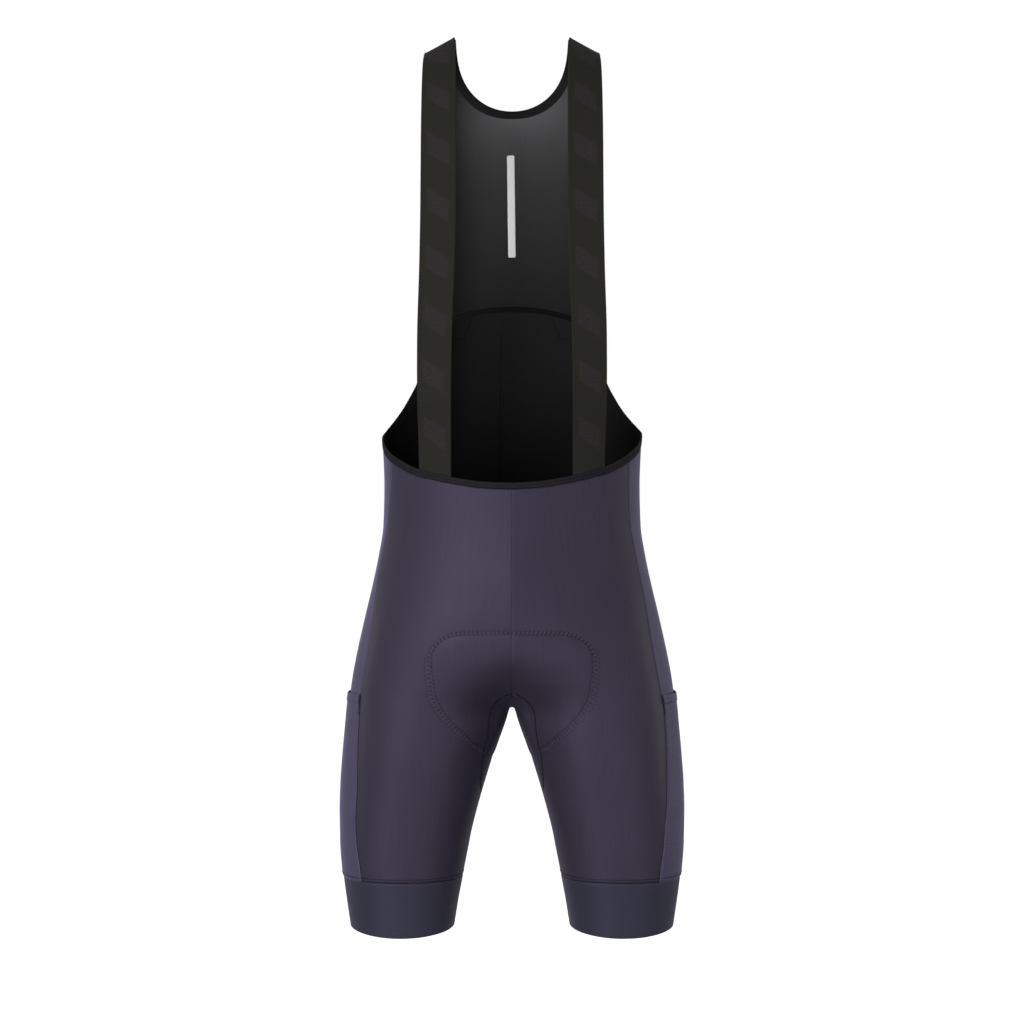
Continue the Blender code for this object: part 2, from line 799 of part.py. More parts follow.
def straps():
    """From inside the front waist over the shoulder crown and down the outside of the back."""
    across = np.linspace(-0.5, 0.5, 3) * STRAP_WIDTH
    up = np.linspace(1, 0, STRAP_FRONT_ROWS + 1) ** STRAP_ROW_POWER
    down = np.linspace(0, 1, STRAP_BACK_ROWS + 1)[1:] ** STRAP_ROW_POWER
    front = [strap_front(tape, across) for tape in mix(STRAP_CROWN, STRAP_HEM, up)]
    back = [strap_back(tape, across) for tape in mix(CROWN, tape_at(STRAP_BACK_END), down)]
    half = np.array(front + back)
    past_crown = np.arange(len(half))[:, None, None] - STRAP_FRONT_ROWS
    clear = (BINDING_PROUD + STRAP_CLEAR) * smooth(1 + past_crown / STRAP_LIFT_ROWS)
    for side in (1, -1):
        grid = sided(half, side)
        grid = grid + normals(grid, TRUNK_CORE) * clear
        cloth("strap_" + side_name(side), grid, TRUNK_CORE, STRAP_WALL, STRAP_BLACK, outward=True)


def back_label():
    tapes = tape_at(np.linspace(LABEL_BOTTOM, LABEL_TOP, LABEL_ROWS + 1))
    x = LABEL_X + np.array([-0.5, 0.0, 0.5]) * LABEL_WIDTH
    grid = np.array([surface(back_turn(np.abs(x), tape), tape) for tape in tapes])
    grid[:, :, 0] *= np.sign(x)
    grid = lifted(grid, TRUNK_CORE, -MESH_WALL - SEAM_GAP)
    cloth("back_label", grid, TRUNK_CORE, LABEL_WALL, LABEL_WHITE, roughness=0.6)


def seat_pad():
    """The pad inside the fork. Its first row is the middle line, or the pad's own upper edge."""
    turns = np.linspace(PAD.values[0, 0], PAD.values[-1, 0], PAD_COLUMNS + 1)
    middle = fork_height(turns)
    on_middle = PAD.at("upper", turns) > middle
    upper = np.minimum(PAD.at("upper", turns), middle)
    lower = PAD.at("lower", turns)
    shares = np.linspace(0, 1, PAD_ROWS + 1)
    grid = np.array([surface(turns, mix(upper, lower, share)) for share in shares])
    grid[0, on_middle, 0] = 0.0
    way = normals(grid, leg_core(1, FORK_TOP))
    way[0, on_middle, 0] = 0.0
    way /= np.linalg.norm(way, axis=-1, keepdims=True)
    grid = grid - way * (PANEL_WALL + PAD_CLEAR)
    cloth("seat_pad", grid, leg_core(1, FORK_TOP), PAD_WALL, PAD_BLACK, mirror=True, roughness=0.9)


for old in list(bpy.data.objects):
    bpy.data.objects.remove(old)
garment = bpy.data.collections.new("cycling_bib_shorts")
bpy.context.scene.collection.children.link(garment)

front_panels()
side_panels()
back_panels()
inner_gusset()
leg_grippers()
lower_back()
back_seam_band()
upper_back_mesh()
edge_binding()
neck_binding()
straps()
back_label()
seat_pad()
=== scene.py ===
import math
import bmesh
import bpy
import numpy as np
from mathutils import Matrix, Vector
from mathutils.bvhtree import BVHTree


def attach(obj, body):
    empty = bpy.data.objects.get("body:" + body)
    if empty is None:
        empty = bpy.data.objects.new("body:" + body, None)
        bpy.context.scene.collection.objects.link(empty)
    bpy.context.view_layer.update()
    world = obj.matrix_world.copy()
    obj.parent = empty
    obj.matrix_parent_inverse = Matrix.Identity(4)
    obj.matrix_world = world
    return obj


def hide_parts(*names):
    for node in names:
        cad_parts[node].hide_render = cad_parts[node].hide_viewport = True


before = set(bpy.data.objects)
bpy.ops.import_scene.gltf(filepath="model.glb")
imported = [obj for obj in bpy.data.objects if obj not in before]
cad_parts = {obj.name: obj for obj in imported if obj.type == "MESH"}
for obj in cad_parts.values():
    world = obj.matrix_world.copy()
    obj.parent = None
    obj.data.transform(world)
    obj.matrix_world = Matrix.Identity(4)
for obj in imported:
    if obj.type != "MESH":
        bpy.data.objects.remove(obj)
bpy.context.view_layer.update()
mm = 0.001
print("frame loaded")

# The view: level, straight at the front, from 2.4 m
view = dict(place=(0.0, -2.4, -0.4864), lens=80.74, sensor=36.0)
eye = bpy.data.objects.new("camera", bpy.data.cameras.new("camera"))
bpy.context.scene.collection.objects.link(eye)
eye.location = view["place"]
eye.rotation_euler = (math.radians(90), 0, 0)
eye.data.lens = view["lens"]
eye.data.sensor_width = view["sensor"]
bpy.context.scene.camera = eye

# The garment's own surface, in millimetres, worked out as the solids' is. A few lines lie where the sewn
# cloth draws them: the side panels' front seams up to 4 mm off the solids' own, the gusset's up to 8 mm, the
# neck curve up to 5 mm and the strap crowns 2 mm
# turn: degrees round one half (0 inside leg, 90 front, 180 outer side, 270 back)
# tape: height up to the shoulder blades, then length along the cloth over the shoulder

levels = dict(hem=-920.0, gripper=-864.0, fork=-674.0, trunk=-520.0, yoke=-500.0,
              band=-267.4, bandDrop=20.0, shoulderBlades=-120.0, strapEnd=-301.0, strapHem=-463.0)
shape = dict(square=2.2, forkRound=0.6, forkFront=12.0, forkBack=14.0, forkTurn=40.0,
             forkCentre=40.0, strapX=74.6, neckHalf=59.0, neckBottom=-52.4, neckSquare=2.1,
             tilt=1.8, tiltEnd=230.0, tiltFade=50.0, gussetEase=4)
binding = dict(width=8.0, wall=2.0, proud=0.4)

sections = (
    ("height", "outer", "centre", "front", "back", "slope"),
    (-920, 168.6, 114.4, 60, 60, 0),
    (-892, 172.4, 114.2, 64, 64, 0),
    (-861, 176.2, 113.3, 69, 69, 0),
    (-829, 178.4, 111.3, 74, 75, 0),
    (-798, 178.6, 107.8, 79, 81, 0),
    (-767, 177.4, 102.8, 84, 87, 0),
    (-735, 174.8, 96.5, 89, 94, 0),
    (-704, 172.0, 89.6, 92, 101, 0),
    (-688, 170.6, 86.3, 93, 106, 0),
    (-674, 169.0, 79.5, 94, 112, 0),
    (-657, 166.7, 66.4, 97, 119, 0),
    (-625, 160.5, 42.8, 102, 125, 0),
    (-594, 153.2, 19.1, 104, 125, 0),
    (-563, 145.7, 3.0, 103, 120, 0),
    (-531, 138.9, 0, 100, 111, 0),
    (-500, 134.2, 0, 98, 101, 0),
    (-460, 133.2, 0, 97, 91, 0),
    (-421, 134.6, 0, 96, 83, 0),
    (-380, 138, 0, 96, 79, 0),
    (-340, 144, 0, 96, 79, 0),
    (-300, 150, 0, 96, 82, 0),
    (-250, 157, 0, 96, 90, 0),
    (-200, 162, 0, 96, 97, 0),
    (-160, 164, 0, 96, 99, 0),
    (-120, 165, 0, 96, 97, 0.02),
    (-80, 165, 0, 96, 92, 0.10),
    (-50, 164, 0, 96, 83, 0.22),
    (-28, 163, 0, 96, 69, 0.36),
    (-13.5, 161, 0, 96, 48, 0.48),
    (-4.8, 160, 0, 96, 24, 0.56),
    (-2, 160, 0, 96, 0, 0.58),
)
sideSeams = (
    ("height", "front", "lean", "back"),
    (-920, 125, 1, 232),
    (-858, 127.2, 1.8, 229),
    (-811, 134.5, 2.3, 226),
    (-768, 140.4, 0, 222),
    (-716, 147.8, 0, 216),
    (-691, 149.6, 0.3, 213),
    (-668, 150.7, 2.4, 211),
    (-632, 153.8, 2.6, 208),
    (-590, 157.9, 2.6, 205),
    (-553, 159.5, 4.4, 203),
    (-520, 159.3, 5, 203),
    (-490, 156.8, 4, 203.5),
    (-440, 154.8, 2.5, 204),
    (-400, 154.8, 2.5, 204),
)
gussetSeams = (
    ("height", "front", "back"),
    (-920, -3, -27),
    (-830, -2, -29),
    (-790, 0, -31),
    (-778, 8, -32),
    (-766, 22.3, -33),
    (-747, 29.0, -34.5),
    (-730, 32.6, -36),
    (-715, 35.4, -38),
    (-702, 37.6, -41),
    (-688, 39.6, -43),
    (-674, 43.2, -44.8),
)
cutEdge = (
    ("turn", "height"),
    (90, -457),
    (100, -455.7),
    (115.3, -450.4),
    (132.6, -442.2),
    (148.5, -431),
    (165, -418.7),
    (180, -406),
    (190.3, -401.5),
    (201.4, -393.2),
    (209.1, -384.4),
    (214.7, -375.6),
    (219.1, -366.8),
    (225.3, -351.6),
    (230, -335),
    (234.5, -302),
    (237.5, -255),
    (239.3, -200),
    (239.8, -150),
    (239.5, -100),
    (238.8, -50),
    (238.2, -12),
    (238.0, 0),
)
strapFront = (
    ("height", "depth", "middle", "roll"),
    (-2, 0, 74.6, 30),
    (-4.8, 22, 74.6, 29),
    (-13.5, 44, 74.3, 26),
    (-28, 65, 74, 21),
    (-52, 84, 73.6, 15),
    (-85, 98, 73.4, 10),
    (-125, 107, 73.4, 8),
    (-175, 110, 73.6, 7),
    (-240, 105, 75, 8),
    (-310, 97, 77.6, 12),
    (-370, 89, 78.3, 17),
    (-420, 82, 77.8, 23),
    (-463, 80, 77.2, 26),
)
strapBack = (
    ("height", "middle"),
    (-301, 66),
    (-200, 68),
    (-100, 71.5),
    (0, 74.6),
)
padEdge = (
    ("turn", "upper", "lower"),
    (-104, -596, -604),
    (-100, -585, -628),
    (-92, -574, -652),
    (-80, -570, -676),
    (-60, -570, -704),
    (-40, -570, -724),
    (-20, -570, -736),
    (0, -600, -741),
    (20, -607, -738),
    (30, -607, -734),
    (45.7, -607, -726),
    (61.8, -607, -713),
    (74.8, -607, -699),
    (87.7, -607, -680),
    (96, -607.5, -662),
    (102.6, -610, -646),
    (107, -620, -630),
)


def curveOf(table, level=()):  # reads a named column anywhere, on a smooth curve that may end level
    names = table[0]
    rows = np.array(sorted(table[1:]), dtype=float)
    x = rows[:, 0]
    step = np.diff(x)
    made = {}
    for name in names[1:]:
        y = rows[:, names.index(name)]
        rise = np.diff(y) / step
        sameWay = rise[:-1] * rise[1:] > 0
        total = np.where(sameWay, rise[:-1] + rise[1:], 1.0)
        inner = np.where(sameWay, 2 * rise[:-1] * rise[1:] / total, 0.0)
        made[name] = y, np.concatenate([rise[:1], inner, [0.0 if name in level else rise[-1]]])

    def read(name, place):
        y, slope = made[name]
        place = np.clip(place, x[0], x[-1])
        i = np.clip(np.searchsorted(x, place) - 1, 0, len(x) - 2)
        t = (place - x[i]) / step[i]
        start = (1 + 2 * t) * (1 - t) ** 2 * y[i] + t * (1 - t) ** 2 * step[i] * slope[i]
        return start + t * t * (3 - 2 * t) * y[i + 1] + t * t * (t - 1) * step[i] * slope[i + 1]

    read.first, read.last = float(x[0]), float(x[-1])
    return read


def taped(table, depthName):
    names = table[0]
    rows = np.array(sorted(table[1:]), dtype=float)
    depth = rows[:, names.index(depthName)]
    climb = np.diff(rows[:, 0])
    over = rows[:-1, 0] >= levels["shoulderBlades"]
    climb = np.where(over, np.hypot(climb, np.diff(depth)), climb)
    tape = rows[0, 0] + np.concatenate([[0], np.cumsum(climb)])
    return (("tape",) + names,) + tuple(map(tuple, np.column_stack([tape, rows])))


body = curveOf(taped(sections, "back"), level=("height",))
strapLine = curveOf(taped(strapFront, "depth"), level=("height",))
strapDown = curveOf(strapBack)
sides = curveOf(sideSeams)
gusset = curveOf(gussetSeams)
pad = curveOf(padEdge)


def smooth(t):
    t = np.clip(t, 0.0, 1.0)
    return t * t * (3 - 2 * t)


def mix(a, b, share):
    return a + (b - a) * share


def signedPower(value, power):
    return np.sign(value) * np.abs(value) ** power


def forkWeb(turn, centre):
    wrapped = (np.asarray(turn, dtype=float) + 180) % 360 - 180
    widest = np.where(wrapped > 0, shape["forkFront"], shape["forkBack"])
    web = mix(shape["forkRound"], widest, smooth(np.abs(wrapped) / shape["forkTurn"]))
    return web * smooth(centre / shape["forkCentre"])


def reach(turn, tape):
    centre = body("centre", tape)
    swing = signedPower(np.cos(np.radians(turn)), 2 / shape["square"])
    return centre - (body("outer", tape) - centre) * swing


def surface(turn, tape):
    turn, tape = np.broadcast_arrays(np.asarray(turn, dtype=float), tape)
    out = reach(turn, tape)
    web = forkWeb(turn, body("centre", tape))
    x = np.sign(out) * np.sqrt(np.maximum(out**2 - web**2, 0.0))
    sine = np.sin(np.radians(turn))
    half = np.where(sine > 0, -body("front", tape), body("back", tape))
    y = half * np.abs(sine) ** (2 / shape["square"])
    z = body("height", tape) - body("slope", tape) * (x - shape["strapX"])
    return np.stack([x, y, z], axis=-1)


def tapeAt(height):
    tapes = np.linspace(levels["hem"], body.last, 2000)
    return np.interp(height, body("height", tapes), tapes)


def backTurn(x, tape):
    share = np.clip(x / body("outer", tape), -1, 1)
    return 180 + np.degrees(np.arccos(signedPower(share, shape["square"] / 2)))


def middleTurn(tape, back):
    centre = body("centre", tape)
    web = forkWeb(-90.0 if back else 90.0, centre)
    share = np.clip((centre - web) / (body("outer", tape) - centre), 0, 1)
    angle = np.where(centre > 0.01, np.degrees(np.arccos(share ** (shape["square"] / 2))), 90.0)
    return 360 - angle if back else angle


def forkHeight(turn, lowest=-720.0, highest=-540.0, rounds=40):  # where a line meets the other leg's
    low = np.full(np.shape(turn), lowest)
    high = np.full(np.shape(turn), highest)
    for _ in range(rounds):
        middle = (low + high) / 2
        outside = reach(turn, middle) > forkWeb(turn, body("centre", middle))
        low = np.where(outside, middle, low)
        high = np.where(outside, high, middle)
    return (low + high) / 2


def pathLength(points):
    return np.concatenate([[0], np.cumsum(np.linalg.norm(np.diff(points, axis=0), axis=1))])


def evenPath(turn, tape, count):
    length = pathLength(surface(turn, tape))
    even = np.linspace(0, length[-1], count)
    return np.interp(even, length, turn), np.interp(even, length, tape)


def topEdge(side, count=160):
    rows = np.array(cutEdge[1:], dtype=float)
    along = np.arange(len(rows))
    turnAt = curveOf((("row", "turn"),) + tuple(zip(along, rows[:, 0])))
    tapeOf = curveOf((("row", "tape"),) + tuple(zip(along, tapeAt(rows[:, 1]))))
    fine = np.linspace(0, along[-1], 600)
    turn, tape = evenPath(turnAt("turn", fine), tapeOf("tape", fine), count)
    lean = -np.cos(np.radians(turn)) * smooth((shape["tiltEnd"] - turn) / shape["tiltFade"])
    return turn, tape + side * shape["tilt"] * lean


def neckEdge(count=60):
    around = np.radians(np.linspace(0, 90, 400))
    power = 2 / shape["neckSquare"]
    x = shape["neckHalf"] * np.cos(around) ** power
    tapes = np.linspace(levels["shoulderBlades"], body.last, 400)
    climb = body("height", tapes) - body("slope", tapes) * (x[:, None] - shape["strapX"])
    z = climb[0, -1] + (shape["neckBottom"] - climb[0, -1]) * np.sin(around) ** power
    tape = np.array([np.interp(height, row, tapes) for height, row in zip(z, climb)])
    length = pathLength(np.column_stack([x, tape]))
    even = np.linspace(0, length[-1], count)
    x, tape = np.interp(even, length, x), np.interp(even, length, tape)
    return backTurn(x, tape), tape


def slopes(turn, tape):
    step = 0.2
    perTurn = (surface(turn + step, tape) - surface(turn - step, tape)) / (2 * step)
    perTape = (surface(turn, tape + step) - surface(turn, tape - step)) / (2 * step)
    return perTurn, perTape


def outward(turn, tape):
    out = np.cross(*slopes(turn, tape))
    return out / np.maximum(np.linalg.norm(out, axis=-1, keepdims=True), 1e-9)


def inset(turn, tape, distance, keepEnds=True):  # the line moved into the cloth, square to itself
    point = surface(turn, tape)
    perTurn, perTape = slopes(turn, tape)
    inward = np.cross(np.gradient(point, axis=0), np.cross(perTurn, perTape))
    inward *= distance / np.linalg.norm(inward, axis=1)[:, None]
    if keepEnds:
        inward[0, 0] = inward[-1, 0] = 0.0
    return (turn + (inward * perTurn).sum(1) / (perTurn**2).sum(1),
            tape + (inward * perTape).sum(1) / (perTape**2).sum(1))


def sideSeam(side, edge, tape):
    return sides(edge, tape) - side * sides("lean", tape)


def sided(points, side):
    return points * np.array([side, 1.0, 1.0])


# Places on that surface for each cut piece, in rows and columns. Under a binding the cloth stops short of
# the cut edge by the tuck, and at a seam by the seam's tuck
weave = dict(legRows=70, hipRows=56, firstRow=6.0, edgeSteps=(0, 0.4, 0.9, 1.5, 2.3, 3.4), rounds=8)
waist = dict(tuck=7.0, seamTuck=8.5, frontTo=210.0, backFrom=195.0, yokeStart=0.6)
overFork = levels["fork"] + 0.01  # from here up the left and right halves meet in the middle


def seamShares(count, width):  # even shares of a row, with extra ones where the cloth rolls into its seams
    near = np.array(weave["edgeSteps"]) / width
    return np.concatenate([near, np.linspace(near[-1], 1 - near[-1], count)[1:-1], 1 - near[::-1]])


legTapes = np.linspace(levels["gripper"] + weave["firstRow"], levels["fork"], weave["legRows"])
legTapes = np.concatenate([levels["gripper"] + np.array(weave["edgeSteps"]), legTapes])
hipTapes = np.linspace(levels["fork"], levels["trunk"], weave["hipRows"])[1:]


def frontStart(tape):
    return np.where(tape > overFork, middleTurn(tape, False), gusset("front", tape))


def backEnd(tape):
    return np.where(tape > overFork, middleTurn(tape, True), 360 + gusset("back", tape))


def edgeTop(side, inward=waist["tuck"]):
    turn, tape = inset(*topEdge(side), inward)
    front = turn < waist["frontTo"]
    return lambda at: np.interp(at, turn[front], tape[front])


def settledRow(tape, turnOf, tapeOf):  # turns and tapes depend on each other, so they settle in a few rounds
    for _ in range(weave["rounds"]):
        turn = turnOf(tape)
        tape = tapeOf(turn)
    return turn, tape


def gathered(rows):
    turns, tapes = zip(*rows)
    return np.array(turns), np.array(tapes)


def panelPlaces(start, end, top, cut):
    shares = seamShares(cut["columns"], cut["width"])
    across = lambda tape: mix(start(tape), end(tape), shares)
    rows = [(across(tape), np.full(len(shares), tape)) for tape in np.concatenate([legTapes, hipTapes])]
    trunk = np.full(len(shares), levels["trunk"])
    for share in np.arange(1, cut["topRows"] + 1) / cut["topRows"]:
        rows.append(settledRow(trunk, across, lambda turn: mix(levels["trunk"], top(turn), share)))
    return gathered(rows)


def yoke(side):
    seam = sideSeam(side, "back", levels["trunk"])
    start = mix(levels["trunk"], edgeTop(side, waist["seamTuck"])(seam), waist["yokeStart"])
    return lambda at: mix(start, levels["yoke"], smooth((at - seam) / (270 - seam)))


def bandTape(share, offset):
    return levels["band"] + offset - levels["bandDrop"] * share**2


def armhole(side):
    turn, tape = inset(*topEdge(side), waist["tuck"])
    back = turn > waist["backFrom"]
    return lambda at: np.interp(at, tape[back], turn[back])


def backPlaces(side, columns, low, high, rows):
    shares = np.linspace(0, 1, columns + 1)
    hole = armhole(side)
    across = lambda tape: mix(270.0, np.maximum(hole(tape), sideSeam(side, "back", tape)), shares)
    band = np.full(len(shares), levels["band"])
    return gathered([settledRow(band, across, lambda turn: mix(low(turn, shares), high(turn, shares), k))
                     for k in rows])


# Turning places into cloth. Normals point away from the core of the trunk, of a leg, or of both
trunkCore = np.array([0.0, 0.0, -400.0])
hipCore = np.array([70.0, 0.0, -600.0])
legCore = np.array([110.0, 0.0, -674.0])
ahead = np.array([0.0, -1.0, 0.0])
roll = dict(dip=1.0, flatDip=0.08, width=2.6, ease=12.0)  # how deep and how wide an edge dips into its seam


def gridNormals(grid, core, row=None):  # square to the grid, pointing away from the core at one row's middle
    square = np.cross(np.gradient(grid, axis=0), np.gradient(grid, axis=1))
    square /= np.maximum(np.linalg.norm(square, axis=-1, keepdims=True), 1e-9)
    at = grid.shape[0] // 2 if row is None else row, grid.shape[1] // 2
    towards = core * np.array([np.sign(grid[at][0]), 1.0, 1.0])
    return square if np.dot(grid[at] - towards, square[at]) > 0 else -square


def lengths(grid):  # millimetres along each row and up each column
    across = np.linalg.norm(np.diff(grid, axis=1), axis=-1)
    along = np.linalg.norm(np.diff(grid, axis=0), axis=-1)
    u = np.concatenate([np.zeros((grid.shape[0], 1)), np.cumsum(across, axis=1)], axis=1)
    v = np.concatenate([np.zeros((1, grid.shape[1])), np.cumsum(along, axis=0)], axis=0)
    return u, v


def seamDip(grid, edges, flatAbove=None):  # above the fork the seams between left and right lie flatter
    u, v = lengths(grid)
    deep = np.zeros(grid.shape[:2])
    for edge, distance in (("first", u), ("last", u[:, -1:] - u), ("bottom", v), ("top", v[-1:] - v)):
        if edge in edges:
            dip = roll["dip"]
            if edge == flatAbove:
                above = smooth((grid[:, :1, 2] - levels["fork"] + roll["ease"] / 2) / roll["ease"])
                dip = mix(dip, roll["flatDip"], above)
            deep = np.maximum(deep, dip * np.clip(1 - distance / roll["width"], 0, 1) ** 2)
    return -deep


# The pad lifts the cloth over it, and the seam round it draws the cloth down
padShow = dict(rise=0.8, slope=9.0, groove=0.75, grooveWidth=2.0, sideTurn=40.0, middle=-660.0, reach=110.0)


def padLine(count=260):  # the pad's outline on one half, from the middle of the front round to the back's
    turns = np.linspace(pad.first, pad.last, 400)
    upper, lower, fork = pad("upper", turns), pad("lower", turns), forkHeight(turns)
    front = (turns > padShow["sideTurn"]) & (upper < fork)
    back = (turns < -padShow["sideTurn"]) & (upper < fork)
    first = float(middleTurn(upper[front][0], False))
    last = float(middleTurn(upper[back][-1], True)) - 360
    turn = np.concatenate([[first], turns[front], turns[::-1], turns[back], [last]])
    tape = np.concatenate([[upper[front][0]], upper[front], lower[::-1], upper[back], [upper[back][-1]]])
    return evenPath(turn, tape, count)


padTurn, padTape = padLine()
padPoints = surface(padTurn, padTape)


def padRise(grid, turn, tape):
    wrapped = (turn + 180) % 360 - 180
    known = (wrapped > pad.first) & (wrapped < pad.last)
    inside = known & (tape < pad("upper", wrapped)) & (tape > pad("lower", wrapped))
    flat = grid.reshape(-1, 3)
    far = np.full(len(flat), 1e3)
    near = np.abs(flat[:, 2] - padShow["middle"]) < padShow["reach"]
    far[near] = np.min(np.linalg.norm(flat[near, None] - padPoints[None, ::2], axis=-1), axis=1)
    far = far.reshape(turn.shape)
    raised = np.where(inside, padShow["rise"] * smooth(far / padShow["slope"]), 0.0)
    return raised - padShow["groove"] * np.exp(-(far / padShow["grooveWidth"]) ** 2)


# Valleys in the worn cloth, each along a seam: it starts at the top, is full from full to low, and ends
hipHollow = dict(depth=4.0, wide=20.0, top=-540.0, full=-620.0, low=-740.0, end=-850.0)
thighFold = dict(depth=7.0, wide=32.0, top=-655.0, full=-692.0, low=-725.0, end=-790.0)
# The pad's front pushes the cloth out over the fork, and the cloth falls back under it
foamFront = dict(rise=3.6, height=-640.0, tall=18.0, wide=54.0)
forkHollow = dict(rise=-7.2, height=-690.0, tall=22.5, wide=62.0)
# The curved middle seam stands forward
frontSeam = dict(rise=6.0, soft=4.0, wide=42.0, least=0.6, top=-470.0, full=-560.0, end=-655.0, ease=40.0)
gussetFront = dict(starts=-5.0, ease=30.0)  # only the gusset's front follows the front panels' forms


def valley(form, grid, fromSeam):
    z = grid[..., 2]
    window = smooth((form["top"] - z) / (form["top"] - form["full"]))
    window = window * smooth((z - form["end"]) / (form["low"] - form["end"]))
    return form["depth"] * window * np.exp(-(fromSeam / form["wide"]) ** 2)


def swell(form, grid):
    x, z = grid[..., 0], grid[..., 2]
    return form["rise"] * np.exp(-((z - form["height"]) / form["tall"]) ** 2 - (x / form["wide"]) ** 2)


def forkRise(grid, fromSeam):
    return swell(foamFront, grid) + swell(forkHollow, grid) - valley(thighFold, grid, fromSeam)


def frontShare(grid):
    return smooth((gussetFront["starts"] - grid[..., 1]) / gussetFront["ease"])


def seamRidge(grid):
    x, z = grid[..., 0], grid[..., 2]
    near = np.exp(-(np.hypot(x, frontSeam["soft"]) - frontSeam["soft"]) / frontSeam["wide"])
    down = smooth((frontSeam["top"] - z) / (frontSeam["top"] - frontSeam["full"]))
    ended = smooth((z - frontSeam["end"]) / frontSeam["ease"])
    return frontSeam["rise"] * near * mix(frontSeam["least"], 1.0, down) * ended


def gridQuads(size):
    index = np.arange(size[0] * size[1]).reshape(size[:2])
    return np.stack([index[:-1, :-1], index[:-1, 1:], index[1:, 1:], index[1:, :-1]], axis=-1).reshape(-1, 4)


def wovenMesh(name, points, faces, uvs, materials, closed=False):
    mesh = bpy.data.meshes.new(name)
    points, faces, uvs = np.concatenate(points), np.concatenate(faces), np.concatenate(uvs)
    mesh.from_pydata((points * mm).tolist(), [], faces.tolist())
    layer = mesh.uv_layers.new(name="grain")
    layer.data.foreach_set("uv", uvs.reshape(-1).astype(np.float32))
    sheet = bmesh.new()
    sheet.from_mesh(mesh)
    bmesh.ops.remove_doubles(sheet, verts=sheet.verts, dist=0.02 * mm)
    if closed:  # where two halves meet, both lose the wall between them
        known = {}
        for face in sheet.faces:
            known.setdefault(frozenset(face.verts), []).append(face)
        twice = [face for same in known.values() if len(same) > 1 for face in same]
        bmesh.ops.delete(sheet, geom=twice, context="FACES")
        bmesh.ops.recalc_face_normals(sheet, faces=sheet.faces)
    sheet.to_mesh(mesh)
    sheet.free()
    for one in materials:
        mesh.materials.append(one)
    mesh.shade_smooth()
    piece = bpy.data.objects.new(name, mesh)
    bpy.context.scene.collection.objects.link(piece)
    return piece


def clothPiece(name, grids, wall, materials, core=trunkCore, outwards=False, inner=0, row=None):
    points, faces, uvs = [], [], []
    for grid, u, v in grids:
        quads = gridQuads(grid.shape)
        at = grid.shape[0] // 2 if row is None else row, grid.shape[1] // 2
        woven = np.cross(np.gradient(grid, axis=1)[at], np.gradient(grid, axis=0)[at])
        if np.dot(woven, gridNormals(grid, core, row)[at]) < 0:
            quads = quads[:, ::-1]
        faces.append(quads + sum(len(p) for p in points))
        points.append(grid.reshape(-1, 3))
        uvs.append(np.stack([u, v], axis=-1).reshape(-1, 2)[quads])
    piece = wovenMesh(name, points, faces, uvs, materials)
    solid = piece.modifiers.new("wall", "SOLIDIFY")
    solid.thickness = wall * mm
    solid.offset = 1.0 if outwards else -1.0
    solid.use_even_offset = True
    solid.material_offset = inner
    piece.modifiers.new("even shading", "WEIGHTED_NORMAL").weight = 80
    return piece


def twoFaced(name, layers, materials):  # a closed piece from its outer and inner faces, with walls between
    points, faces, uvs = [], [], []
    for outer, under, u, v in layers:
        rows, columns = outer.shape[:2]
        top = gridQuads(outer.shape)
        index = np.arange(rows * columns).reshape(rows, columns)
        rim = np.concatenate([index[0, :-1], index[:-1, -1], index[-1, :0:-1], index[::-1, 0]])
        walls = np.column_stack([rim[:-1], rim[1:], rim[1:] + rows * columns, rim[:-1] + rows * columns])
        quads = np.concatenate([top, top[:, ::-1] + rows * columns, walls])
        faces.append(quads + sum(len(p) for p in points))
        points += [outer.reshape(-1, 3), under.reshape(-1, 3)]
        uvs.append(np.tile(np.stack([u, v], axis=-1).reshape(-1, 2), (2, 1))[quads])
    return wovenMesh(name, points, faces, uvs, materials, closed=True)


def sewn(piece, nodes):  # lays the piece in the root body and hides the solids it stands for
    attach(piece, "root")
    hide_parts(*nodes)


def handOf(side):
    return "left" if side > 0 else "right"


# Finishes. Patterns read the "grain" map, which is in millimetres across and up the cloth
def linear(code):
    values = [int(code[i:i + 2], 16) / 255 for i in (0, 2, 4)]
    return [v / 12.92 if v <= 0.04045 else ((v + 0.055) / 1.055) ** 2.4 for v in values] + [1.0]


def addNode(tree, kind, inputs=None, **settings):
    node = tree.nodes.new(kind)
    for key, value in settings.items():
        setattr(node, key, value)
    for key, value in (inputs or {}).items():
        if isinstance(value, bpy.types.NodeSocket):
            tree.links.new(value, node.inputs[key])
        else:
            node.inputs[key].default_value = value
    return node


def finish(name, colour, rough, gloss=0.35, shine="FFFFFF", sheen=0.0, sheenRough=0.4, sheenTint="FFFFFF",
           ior=1.46):
    made = bpy.data.materials.new(name)
    made.use_nodes = True
    inputs = made.node_tree.nodes["Principled BSDF"].inputs
    inputs["Base Color"].default_value = made.diffuse_color = linear(colour)
    inputs["Roughness"].default_value = rough
    inputs["IOR"].default_value = ior
    inputs["Specular IOR Level"].default_value = gloss
    inputs["Specular Tint"].default_value = linear(shine)
    if sheen:
        inputs["Sheen Weight"].default_value = sheen
        inputs["Sheen Roughness"].default_value = sheenRough
        inputs["Sheen Tint"].default_value = linear(sheenTint)
    return made


def ribs(tree, coordinate, pitch):  # a row of soft ridges, one each pitch millimetres
    phase = addNode(tree, "ShaderNodeMath", {0: coordinate, 1: 2 * math.pi / pitch}, operation="MULTIPLY")
    return addNode(tree, "ShaderNodeMath", {0: phase.outputs[0]}, operation="SINE").outputs[0]


